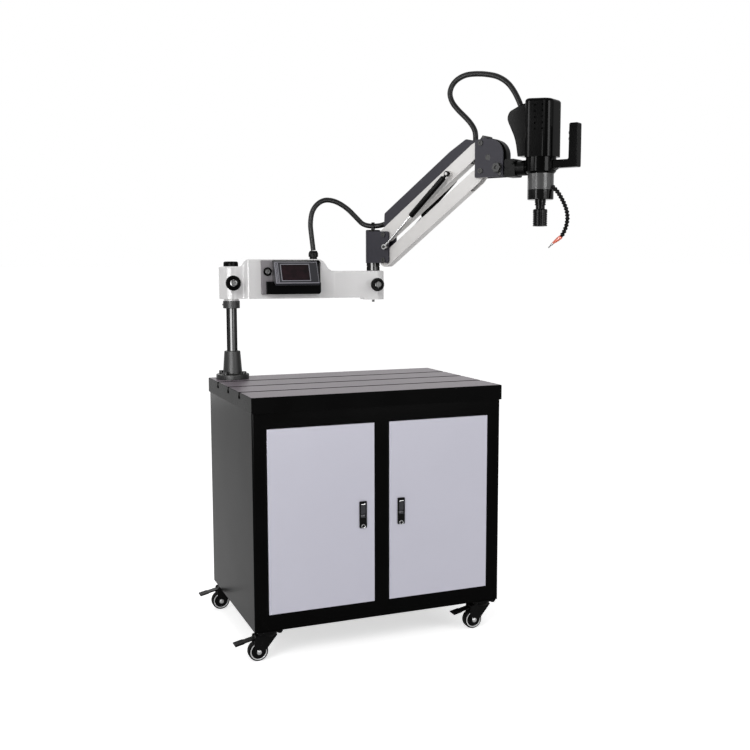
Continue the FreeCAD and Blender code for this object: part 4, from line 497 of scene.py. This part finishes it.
def routeLine(name, points):  # points along the smooth line that the route steers
    curve = bpy.data.curves.new(name + "Line", "CURVE")
    curve.dimensions = "3D"
    spline = curve.splines.new("NURBS")
    spline.points.add(len(points) - 1)
    for spot, point in zip(spline.points, points):
        spot.co = (*point, 1)
    spline.order_u = 3
    spline.use_endpoint_u = True
    spline.resolution_u = 40
    guide = bpy.data.objects.new(name + "Line", curve)
    bpy.context.scene.collection.objects.link(guide)
    bpy.context.view_layer.update()
    line = bpy.data.meshes.new_from_object(guide)
    spots = [v.co.copy() for v in line.vertices]
    bpy.data.objects.remove(guide)
    bpy.data.meshes.remove(line)
    return spots


def evenSpots(spots, spacing):
    total = sum((b - a).length for a, b in zip(spots, spots[1:]))
    count = max(int(total / spacing), 2)
    even, run, index = [spots[0]], 0.0, 0
    for i in range(1, count):
        target = total * i / count
        while run + (spots[index + 1] - spots[index]).length < target:
            run += (spots[index + 1] - spots[index]).length
            index += 1
        step = spots[index + 1] - spots[index]
        even.append(spots[index] + step * ((target - run) / step.length))
    return even + [spots[-1]], total


# Closed tube round a line; radiusAt gives its radius at each distance along
def sweepTube(name, spots, radiusAt, sides):
    verts, faces = [], []
    tangent = (spots[1] - spots[0]).normalized()
    side = tangent.orthogonal().normalized()
    run = 0.0
    for i, spot in enumerate(spots):
        ahead = spots[min(i + 1, len(spots) - 1)] - spots[max(i - 1, 0)]
        turn = tangent.rotation_difference(ahead)
        side = (turn @ side).normalized()
        tangent = ahead.normalized()
        other = tangent.cross(side).normalized()
        if i:
            run += (spot - spots[i - 1]).length
        for k in range(sides):
            angle = full * k / sides
            verts.append(spot + (side * math.cos(angle) + other * math.sin(angle)) * radiusAt(run))
    for i in range(len(spots) - 1):
        for k in range(sides):
            a, b = i * sides + k, i * sides + (k + 1) % sides
            faces.append((a, b, b + sides, a + sides))
    faces.append(tuple(range(sides))[::-1])
    faces.append(tuple(range((len(spots) - 1) * sides, len(spots) * sides)))
    mesh = bpy.data.meshes.new(name)
    mesh.from_pydata(verts, [], faces)
    piece = bpy.data.objects.new(name, mesh)
    bpy.context.scene.collection.objects.link(piece)
    editAll(piece)
    bpy.ops.mesh.normals_make_consistent(inside=False)
    leaveEdit()
    return piece


def makeHose(name, node, route, arm, bodies, settings, start=None, end=None):
    points = worldRoute(route, arm)
    spots, total = evenSpots(routeLine(name, points), settings["spacing"] * mm)

    def ribbed(run):
        wave = 0.5 - 0.5 * math.cos(full * run / (settings["ribPitch"] * mm))
        return (settings["radius"] - settings["ribDepth"] * wave ** 2) * mm

    piece = sweepTube(name, spots, ribbed, settings["sides"])
    smoothShade(piece, 60)
    giveFinish(piece, finishes["hoseBlack"])
    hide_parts(node)
    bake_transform(piece)
    print("Hose", name, round(total, 3), "m")
    return piece


# Points at the falling end of the first hose and at the bow's turn, which leans forward
elbowTurn = [(290, 0, 505), (415, 0, 465)]
bowTurn = [(330, 0, 650), (385, 0, 834)]
makeHose("elbowHose", "elbow_hose", elbowRoute, firstArm, ("first_arm", "elbow"), hoseSettings,
         *worldRoute(elbowTurn, firstArm))
makeHose("coverHose", "cover_hose", coverRoute, secondArm, ("elbow", "upper_arm"), hoseSettings)
makeHose("bowHose", "bow_hose", bowRoute, secondArm, ("wrist", "tilt"), hoseSettings,
         *worldRoute(bowTurn, secondArm))
makeHose("motorHose", "motor_hose", motorRoute, secondArm, ("tilt", "head"), hoseSettings)
print("Hoses laid")


# knobs that clamp the first arm

outward = (0, -1, 0)
grip = {"lines": 72, "every": 3, "sink": 0.965}
knobSettings = [
    {"name": "swivelKnob", "node": "swivel_lock_knob", "along": 0, "height": 274.5, "seat": 44.4,
     "length": 12.6, "grip": 21.5, "core": 13.0, "proud": 3.0, "centre": "knobChrome"},
    {"name": "elbowKnob", "node": "elbow_lock_knob", "along": 420, "height": 267.0, "seat": 41.4,
     "length": 14.6, "grip": 19.5, "core": 13.0, "proud": 3.0, "centre": "chrome"}]


def makeClampKnob(settings):
    r, length = settings["grip"], settings["length"]
    core = settings["core"] - 2.6
    ring = turnedPiece(settings["name"] + "Ring",
                       [(core + 0.2, 0), (r - 3, 0), (r, 3), (r, length - 3.2),
                        (r - 1.0, length - 1.2), (r - 2.6, length), (core + 3.4, length),
                        (core + 1.8, length - 1.6), (core + 0.2, length - 1.8), (core + 0.2, 0)],
                       sides=grip["lines"], ringShaped=True)
    editAll(ring)
    bpy.ops.mesh.select_all(action="DESELECT")
    leaveEdit()
    for vertex in ring.data.vertices:  # every third line of the grip sinks in
        flat = Vector((vertex.co.x, vertex.co.y))
        turn = round(math.atan2(flat.y, flat.x) / full * grip["lines"]) % grip["every"]
        vertex.select = flat.length > (r - 1.5) * mm and turn == 0
    bpy.ops.object.mode_set(mode="EDIT")
    bpy.ops.transform.resize(value=(grip["sink"], grip["sink"], 1), center_override=(0, 0, 0))
    leaveEdit()
    smoothShade(roundEdges(ring, 0.25 * mm, 2, 25), 30)
    giveFinish(ring, finishes["glossBlack"])
    tall = length + settings["proud"]
    centre = turnedPiece(settings["name"] + "Centre",
                         [(5, -settings["seat"] + 16), (5, 0), (core, 0), (core, tall - 2.2),
                          (core - 0.6, tall - 0.8), (core - 2, tall), (core - 3.2, tall),
                          (core - 3.6, tall - 0.7), (1.2, tall - 0.7)], sides=64)
    slot = blockPiece("slot", (-1.2, 1.2), (-core, core), (tall - 1.8, tall + 1))
    cutAway(centre, [slot])
    smoothShade(roundEdges(centre, 0.2 * mm, 2, 40), 30)
    giveFinish(centre, finishes[settings["centre"]])
    foot = Vector((settings["along"], -settings["seat"], settings["height"])) * mm
    for piece in (ring, centre):
        aimPiece(piece, foot, outward)
        ontoArm(piece, firstArm)
        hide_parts(settings["node"])
        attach(piece, bodyOf[settings["node"]])


for settings in knobSettings:
    makeClampKnob(settings)
print("Clamp knobs made")


# control panel: face plate, terminal box, tilted touch screen and mains switch

panelSettings = {"strip": ((79, 113), (-50, -42), (242, 338)),
                 "surround": ((111, 250), (-50.4, -42), (242, 338)),
                 "box": ((92, 249), (-62, -50), (242, 278)), "corner": 7,
                 "window": ((118, 231), (-60, -30), (284, 328)), "screenCentre": 171.5,
                 "lip": (-63, 333.5), "foot": (-99.5, 273.5), "bezel": (112, 237),
                 "switch": (97, -50, 306), "stripes": (-57.0, -53.4, -49.4)}


def onScreen(piece, settings):  # x along the arm, y up the slope, z out of the glass
    low = Vector((settings["screenCentre"], *settings["foot"])) * mm
    high = Vector((settings["screenCentre"], *settings["lip"])) * mm
    slope = (high - low).normalized()
    face = Vector((1, 0, 0)).cross(slope)
    turn = Matrix((Vector((1, 0, 0)), slope, face)).transposed().to_4x4()
    piece.matrix_world = Matrix.Translation((low + high) / 2) @ turn
    return ontoArm(applyPlace(piece), firstArm)


def frameRing(name, x, y, z, width):  # a flat rectangular ring
    outer = blockPiece(name, x, y, z)
    inner = blockPiece("hole", (x[0] + width, x[1] - width), (y[0] + width, y[1] - width),
                       (z[0] - 1, z[1] + 1))
    return cutAway(outer, [inner])


# Plate standing on the arm's side, its two right corners rounded
def cornerPlate(name, sizes, corner):
    plate = blockPiece(name, *sizes)
    right = sizes[0][1] * mm
    chooseEdges(plate, lambda a, b: abs(a.y - b.y) > 0.001 and min(a.x, b.x) > right - 0.0001)
    bpy.ops.mesh.bevel(offset=corner * mm, segments=8, affect="EDGES")
    leaveEdit()
    return smoothShade(roundEdges(plate, 1.0 * mm, 3, 50), 32)


def makePanel(settings):
    strip = blockPiece("panelStrip", *settings["strip"])
    smoothShade(roundEdges(strip, 1.2 * mm, 3))
    surround = cornerPlate("panelSurround", settings["surround"], settings["corner"])
    cutAway(surround, [blockPiece("window", *settings["window"])])
    box = cornerPlate("terminalBox", settings["box"], settings["corner"])
    guard = turnedPiece("switchGuard", [(8.6, 0), (12, 0), (12, 3.4), (10.8, 5), (9.4, 5),
                                        (8.6, 4.2), (8.6, 0)], sides=64, ringShaped=True)
    smoothShade(guard, 30)
    aimPiece(guard, Vector(settings["switch"]) * mm, outward)
    for piece, finish in ((strip, "stripGrey"), (surround, "glossBlack"), (box, "glossBlack"),
                          (guard, "glossBlack")):
        giveFinish(piece, finishes[finish])
        ontoArm(piece, firstArm)
        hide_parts("control_panel")
        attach(piece, "first_arm")


def makeSwitch(settings):
    knob = turnedPiece("switchKnob", [(3, -8), (3, 0.3), (8, 0.3), (8, 9), (7.4, 11.2), (5.8, 12.2),
                                      (1, 12.2)], sides=48)
    cutAway(knob, [blockPiece("groove", (-0.9, 0.9), (-9, 9), (10.4, 13))])
    smoothShade(roundEdges(knob, 0.2 * mm, 2, 40), 30)
    giveFinish(knob, finishes["knobChrome"])
    aimPiece(knob, Vector(settings["switch"]) * mm, outward)
    ontoArm(knob, firstArm)
    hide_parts("power_switch")
    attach(knob, bodyOf["power_switch"])


def makeScreenTrim(settings):
    half = (settings["bezel"][1] - settings["bezel"][0]) / 2
    shift = (settings["bezel"][0] + settings["bezel"][1]) / 2 - settings["screenCentre"]
    low, high = shift - half, shift + half
    trims = [frameRing("outerTrim", (low + 1.2, high - 1.2), (-33.6, 33.6), (-0.2, 0.5), 0.9),
             frameRing("screenTrim", (-41.5, 41.5), (-27.5, 27.5), (-0.2, 0.8), 1.6)]
    for i, x in enumerate(settings["stripes"]):
        trims.append(blockPiece("stripe" + str(i), (x, x + 1.5), (-32, 32), (-0.2, 0.6)))
    trims.append(blockPiece("footTrim", (low + 0.8, high - 0.8), (-35.0, -33.4), (-1.2, 0.9)))
    for trim in trims:
        roundEdges(trim, 0.2 * mm, 2)
        onScreen(trim, settings)
    trim = joinPieces(trims, "screenTrims")
    smoothShade(trim, 30)
    giveFinish(trim, finishes["silverTrim"])
    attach(trim, "first_arm")


makePanel(panelSettings)
makeSwitch(panelSettings)
makeScreenTrim(panelSettings)
print("Control panel made")


# turned parts: column, flange, cap, elbow post, spindle housing, nose ring and spindle neck

def onSecond(along):
    return {"place": (along, 0, 0), "arm": secondArm}


spindleAlong = 543.5
turnedSettings = [  # the place is in an arm's own frame where an arm is named
    {"node": "column", "name": "columnBar", "finish": "chrome", "place": (-290, 192, 684),
     "rings": [(14.6, 0), (15, 0.4), (15, 315.5), (13.5, 317)]},
    {"node": "column_flange", "name": "flangeCone", "finish": "blackOxide",
     "place": (-290, 192, 684),
     "rings": [(46.6, 0), (47, 0.4), (47, 12), (46.4, 13.4), (45, 14), (31, 14), (29.2, 14.8),
               (28.2, 16.4), (27.4, 19), (22.9, 78.6), (22.2, 79.6), (21, 80), (15, 80)]},
    {"node": "column_cap", "name": "columnCap", "finish": "glossBlack", "arm": firstArm,
     "place": (0, 0, 321),
     "rings": [(16, 0), (21, 0), (21, 9), (20.4, 11.4), (18.8, 13.2), (16.4, 14), (9, 14),
               (8.4, 13.2), (2, 13.2)]},
    {"node": "elbow_post", "name": "elbowPost", "finish": "chrome", **onSecond(0),
     "rings": [(3.4, 215), (4, 215.6), (4, 232), (14, 232), (14, 307.3), (19, 307.3), (19.3, 307.7),
               (19.3, 318), (17.8, 318), (17.8, 319.5), (19.3, 319.5), (19.3, 329.5), (12, 329.5),
               (12, 369.5)]},
    {"node": "spindle_housing", "name": "spindleHousing", "finish": "housingGrey",
     **onSecond(spindleAlong),
     "rings": [(33.6, 518.8), (34, 519.2), (34, 602)]},
    {"node": "spindle_housing", "name": "noseRing", "finish": "spindleBlack",
     **onSecond(spindleAlong),
     "rings": [(31.4, 493), (33.2, 493.8), (34, 495.4), (34, 518.4), (33.6, 518.6)]},
    {"node": "spindle", "name": "spindleNeck", "finish": "spindleBlack",
     **onSecond(spindleAlong),
     "rings": [(11.4, 427), (12, 427.6), (12, 478.8), (13.9, 479), (14.4, 479.5), (14.4, 482.5),
               (13.2, 483), (13.2, 484.6), (14.4, 485.1), (14.4, 496)]}]


def makeTurned(settings):
    piece = turnedPiece(settings["name"], settings["rings"], sides=96)
    smoothShade(piece, 32)
    giveFinish(piece, finishes[settings["finish"]])
    piece.location = Vector(settings["place"]) * mm
    applyPlace(piece)
    if "arm" in settings:
        ontoArm(piece, settings["arm"])
    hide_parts(settings["node"])
    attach(piece, bodyOf[settings["node"]])


for settings in turnedSettings:
    makeTurned(settings)
print("Turned parts made")


# hood of the tapping head with its vent holes, and the fin behind it

hoodSettings = {"along": (507.5, 586.5), "half": 40, "base": 602, "top": 752, "outerTop": 747,
                "corner": 22, "rim": 8, "ventPitch": 15, "ventTop": 731, "ventSpacing": 21,
                "ventMiddle": 555, "ventRows": 5, "ventRadius": 2.6, "ventStart": 5,
                "ventLength": 9}


def makeHood(settings):
    (a0, a1), half = settings["along"], settings["half"]
    hood = blockPiece("motorHood", (a0, a1), (-half, half), (settings["base"], settings["top"]))
    chooseEdges(hood, lambda a, b: abs(a.z - b.z) > 0.1)  # the four upright corners
    bpy.ops.mesh.bevel(offset=settings["corner"] * mm, segments=12, affect="EDGES")
    bpy.ops.mesh.select_all(action="SELECT")
    drop = math.atan2(settings["top"] - settings["outerTop"], a1 - a0)  # the top falls outwards
    bpy.ops.mesh.bisect(plane_co=(a0 * mm, 0, settings["top"] * mm),
                        plane_no=(math.sin(drop), 0, math.cos(drop)), use_fill=True,
                        clear_outer=True)
    leaveEdit()
    rim = settings["outerTop"] * mm - 0.001
    chooseEdges(hood, lambda a, b: min(a.z, b.z) > rim)
    bpy.ops.mesh.bevel(offset=settings["rim"] * mm, segments=6, affect="EDGES")
    leaveEdit()
    cutAway(hood, [hoodVents(settings)])
    smoothShade(hood, 32)
    giveFinish(hood, finishes["glossBlack"])
    ontoArm(hood, secondArm)
    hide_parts("motor_covers")
    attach(hood, "head")


def hoodVents(settings):  # two rows of round holes on either side
    cutters = []
    for side in (-1, 1):
        for column in (-0.5, 0.5):
            for row in range(settings["ventRows"]):
                along = settings["ventMiddle"] + column * settings["ventSpacing"]
                height = settings["ventTop"] - row * settings["ventPitch"]
                start = (along, side * (settings["half"] + settings["ventStart"]), height)
                cutters.append(rodPiece("vent", settings["ventRadius"], start, (0, -side, 0),
                                        settings["ventLength"], 20))
    return joinPieces(cutters, "vents")


# The outline of the fin that takes the hose in, from foot to top as along and height
finSettings = {"half": 21, "wall": 509, "round": 5.5,
               "outline": [(483.5, 607), (481, 623), (478.6, 638), (475.6, 650), (471.4, 662),
                           (454.8, 697), (452.6, 703.4), (452.3, 709.6), (454, 716), (456.6, 721.4),
                           (461.4, 726), (491, 738.8), (497.5, 741), (505, 741.5)]}


def makeFin(settings):
    wall, half = settings["wall"], settings["half"]
    (along, height) = settings["outline"][0]
    clearSelection()
    bpy.ops.mesh.primitive_plane_add(size=1, location=((wall + along) / 2 * mm, 0, height * mm))
    fin = bpy.context.object
    fin.name = "hoodFin"
    fin.scale = ((wall - along) * mm, 2 * half * mm, 1)
    applyPlace(fin)
    editAll(fin)
    for (a0, z0), (a1, z1) in zip(settings["outline"], settings["outline"][1:]):
        bpy.ops.mesh.extrude_region_move(TRANSFORM_OT_translate={"value": (0, 0, (z1 - z0) * mm)})
        bpy.ops.transform.resize(value=((wall - a1) / (wall - a0), 1, 1),
                                 center_override=(wall * mm, 0, z1 * mm))
    bpy.ops.mesh.select_all(action="SELECT")
    bpy.ops.mesh.normals_make_consistent(inside=False)
    leaveEdit()
    inner = (wall - 0.5) * mm
    chooseEdges(fin, lambda a, b: abs(a.y - b.y) < mm and max(a.x, b.x) < inner)
    bpy.ops.mesh.bevel(offset=settings["round"] * mm, segments=5, affect="EDGES")
    leaveEdit()
    smoothShade(fin, 32)
    giveFinish(fin, finishes["glossBlack"])
    ontoArm(fin, secondArm)
    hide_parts("motor_covers")
    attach(fin, "head")


makeHood(hoodSettings)
makeFin(finSettings)
print("Hood and fin made")


# caster wheels

wheelSettings = {"radius": 26, "half": 11, "trail": 27, "forkFace": 15.5,
                 "places": {"front_left": (-308, -209), "front_right": (308, -209),
                            "back_left": (-308, 209), "back_right": (308, 209)}}


# Closed outline of a wheel part from one side of it, whose rings run outwards
def mirroredRings(rings):
    back = [(r, -z) for r, z in rings]
    front = [(r, z) for r, z in reversed(rings)]
    return back + front + [back[0]]


def makeWheelParts(settings):
    r, w = settings["radius"], settings["half"]
    outlines = {
        "tyre": ("tyreRubber", [(21.5, w - 1.2), (22.4, w - 0.2), (24, w - 0.6), (25.5, w - 2.2),
                                (r, w - 4.6)]),
        "band": ("ringGrey", [(19.4, w - 1.0), (20.0, w - 0.4), (21.6, w - 0.4), (22.0, w - 1.2)]),
        "hub": ("matteBlack", [(4.2, w + 0.6), (8.4, w + 0.6), (9.6, w - 1.2), (17.5, w - 2.2),
                               (19.8, w - 1.2)])}
    parts = {}
    for name, (finish, rings) in outlines.items():
        piece = turnedPiece(name, mirroredRings(rings), sides=72, ringShaped=True)
        smoothShade(piece, 35)
        parts[name] = giveFinish(piece, finishes[finish])
    return parts


def placeWheel(parts, corner, settings):
    x, y = settings["places"][corner]
    for name, part in parts.items():
        piece = copyPiece(part, name + "_" + corner)
        aimPiece(piece, Vector((x - settings["trail"], y, settings["radius"])) * mm, (0, 1, 0))
        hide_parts("wheel_" + corner)
        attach(piece, bodyOf["wheel_" + corner])


# Bright round nut on each side of a fork, at the axle
def placeAxleNuts(nut, corner, settings):
    x, y = settings["places"][corner]
    for side in (-1, 1):
        piece = copyPiece(nut, "axleNut_" + corner + ("_front" if side < 0 else "_back"))
        face = (x - settings["trail"], y + side * settings["forkFace"], settings["radius"])
        aimPiece(piece, Vector(face) * mm, (0, side, 0))
        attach(piece, bodyOf["fork_" + corner])


wheelParts = makeWheelParts(wheelSettings)
axleNut = turnedPiece("axleNut", [(6.2, -0.6), (6.4, 0.2), (6.4, 1.4), (5.8, 2.2), (4.2, 2.5),
                                  (3.6, 3.1), (1.0, 3.3)], sides=32)
smoothShade(giveFinish(axleNut, finishes["zincSteel"]), 35)
for corner in wheelSettings["places"]:
    placeWheel(wheelParts, corner, wheelSettings)
    placeAxleNuts(axleNut, corner, wheelSettings)
for pattern in list(wheelParts.values()) + [axleNut]:
    bpy.data.objects.remove(pattern)
print("Caster wheels made")


# coolant line: ball links along a bent route, then the nozzle with its steel tube

coolantSettings = {"route": [(577, 527), (592, 513), (603, 497), (612, 481), (619, 464),
                             (622, 446), (620, 428), (614, 411), (606, 398)], "links": 17}
nozzleSettings = {  # finish, foot and far point as along and height, rings
    "body": ("nozzleOrange", (604, 396), (582, 380.5),
             [(3.8, -2), (5.2, -1), (5.4, 5.5), (4.4, 6.3), (4.4, 7.3), (5.3, 8.1), (5.2, 13),
              (4.1, 14.5), (4.1, 15.6), (4.7, 16.4), (3.7, 22), (2.8, 27)]),
    "tube": ("knobChrome", (583, 381.4), (569, 368.5),
             [(2.8, -2), (2.8, 7), (1.6, 8.4), (1.5, 18.6), (1.2, 19)])}


def bead(length):  # ball with a tapered skirt that the next ball sits in
    return [(3.4, 0), (4.3, 0.5), (5.6, 1.7), (6.1, 3.0), (6.0, 4.2), (5.2, 5.6), (4.2, 6.6),
            (3.8, length), (3.6, length + 1)]


def makeCoolantLine(settings):
    path = [Vector((a, 0, z)) * mm for a, z in settings["route"]]
    total = sum((b - a).length for a, b in zip(path, path[1:]))
    stops, length = evenSpots(path, total / (settings["links"] + 0.01))  # a hair over whole links
    pattern = turnedPiece("bead", bead(length / settings["links"] / mm), sides=28)
    smoothShade(giveFinish(pattern, finishes["matteBlack"]), 50)
    links = [aimPiece(copyPiece(pattern, "link"), a, b - a) for a, b in zip(stops, stops[1:])]
    bpy.data.objects.remove(pattern)
    line = joinPieces(links, "coolantLinks")
    ontoArm(line, secondArm)
    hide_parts("coolant_hose")
    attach(line, "head")


def makeNozzle(settings):
    for name, (finish, (a0, z0), (a1, z1), rings) in settings.items():
        piece = smoothShade(turnedPiece("nozzle_" + name, rings, sides=32), 40)
        giveFinish(piece, finishes[finish])
        aimPiece(piece, Vector((a0, 0, z0)) * mm, (a1 - a0, 0, z1 - z0))
        ontoArm(piece, secondArm)
        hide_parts("coolant_nozzle")
        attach(piece, "head")


makeCoolantLine(coolantSettings)
makeNozzle(nozzleSettings)
print("Coolant line made")


# bright ring of the key barrel and bright pin line of the lever in each door lock

lockSettings = {"across": 54, "face": -238, "key": 330.3, "pin": 388.8, "pinHalf": 5.6}


def makeLockTrims(side, settings):
    ring = turnedPiece("keyRing_" + side, [(4.3, -0.4), (5.5, -0.4), (5.5, 0.9), (5.2, 1.3),
                                           (4.6, 1.3), (4.3, 1.0), (4.3, -0.4)],
                       sides=48, ringShaped=True)
    smoothShade(ring, 35)
    x = settings["across"] * (-1 if side == "left" else 1)
    aimPiece(ring, Vector((x, settings["face"], settings["key"])) * mm, outward)
    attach(ring, bodyOf[side + "_lock_housing"])
    half = settings["pinHalf"]
    line = rodPiece("leverLine_" + side, 0.8, (x - half, settings["face"] + 0.3, settings["pin"]),
                    (1, 0, 0), 2 * half, 20)
    smoothShade(roundEdges(line, 0.3 * mm, 2, 50), 35)
    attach(line, bodyOf[side + "_lock_lever"])
    for piece in (ring, line):
        giveFinish(piece, finishes["brightChrome"])


for side in ("left", "right"):
    makeLockTrims(side, lockSettings)
print("Lock trims made")


# CAD nodes with eased edges

dressing = [  # node, finish, edge width
    ("cabinet_carcass", "cabinetBlack", 0.8), ("t_slot_table", "tableEdge", 0.5),
    ("flange_bolts", "blackOxide", 0.3), ("column_collar", "blackOxide", 0.4),
    ("caster_mounts", "matteBlack", 0.3), ("left_door", "doorGrey", 0.6),
    ("right_door", "doorGrey", 0.6), ("left_lock_housing", "matteBlack", 0.3),
    ("right_lock_housing", "matteBlack", 0.3), ("left_lock_lever", "bezelSlate", 0.3),
    ("right_lock_lever", "bezelSlate", 0.3), ("arm_casting", "castWhite", 0.8),
    ("screen_bezel", "bezelSlate", 0.5), ("touch_screen", "screenGlass", 0.0),
    ("cable_gland", "matteBlack", 0.3), ("elbow_bracket", "slatePowder", 0.5),
    ("elbow_pins", "blackOxide", 0.3), ("upper_link", "linkWhite", 0.5),
    ("lower_link", "linkWhite", 0.5), ("cable_cover", "slatePowder", 0.6),
    ("gas_spring_rods", "brightChrome", 0.2), ("gas_spring_cylinders", "glossBlack", 0.2),
    ("wrist_bracket", "slatePowder", 0.5), ("wrist_pins", "blackOxide", 0.3),
    ("tilt_lock_knob", "blackOxide", 0.4), ("tilt_arm", "matteBlack", 0.5),
    ("head_clamp", "glossBlack", 0.5), ("start_button", "matteBlack", 0.3),
    ("reverse_button", "matteBlack", 0.3), ("chuck_sleeve", "spindleBlack", 0.2)]
for corner in wheelSettings["places"]:
    dressing += [("fork_" + corner, "matteBlack", 0.4), ("pedal_" + corner, "matteBlack", 0.3)]
for node, finish, edge in dressing:
    dressNode(node, finishes[finish], edge, dressSettings)
for slot in frame["nodes"]["spindle_motor"].material_slots:  # keeps its own mesh
    slot.material = finishes["matteBlack"]

secondFinishes = [  # skin, finish, lowest height of its faces, least lean of their normals
    ("t_slot_tableSkin", "tablePlate", 0.6835, 0.9),  # the ground face between the slots
    ("elbow_bracketSkin", "matteBlack", 1.1045, -1.1)]  # the hose clip on top of the bracket
for name, finish, lowest, lean in secondFinishes:
    skin = bpy.data.objects[name]
    skin.data.materials.append(finishes[finish])
    for face in skin.data.polygons:
        if face.normal.z > lean and face.center.z > lowest:
            face.material_index = 1
print("Nodes dressed:", len(dressing))

# The glint lamps leave the flat table top out
offTable = bpy.data.collections.new("offTable")
offTable.objects.link(bpy.data.objects["t_slot_tableSkin"])
offTable.collection_objects[0].light_linking.link_state = "EXCLUDE"
for name in glintNames:
    bpy.data.objects[name].light_linking.receiver_collection = offTable
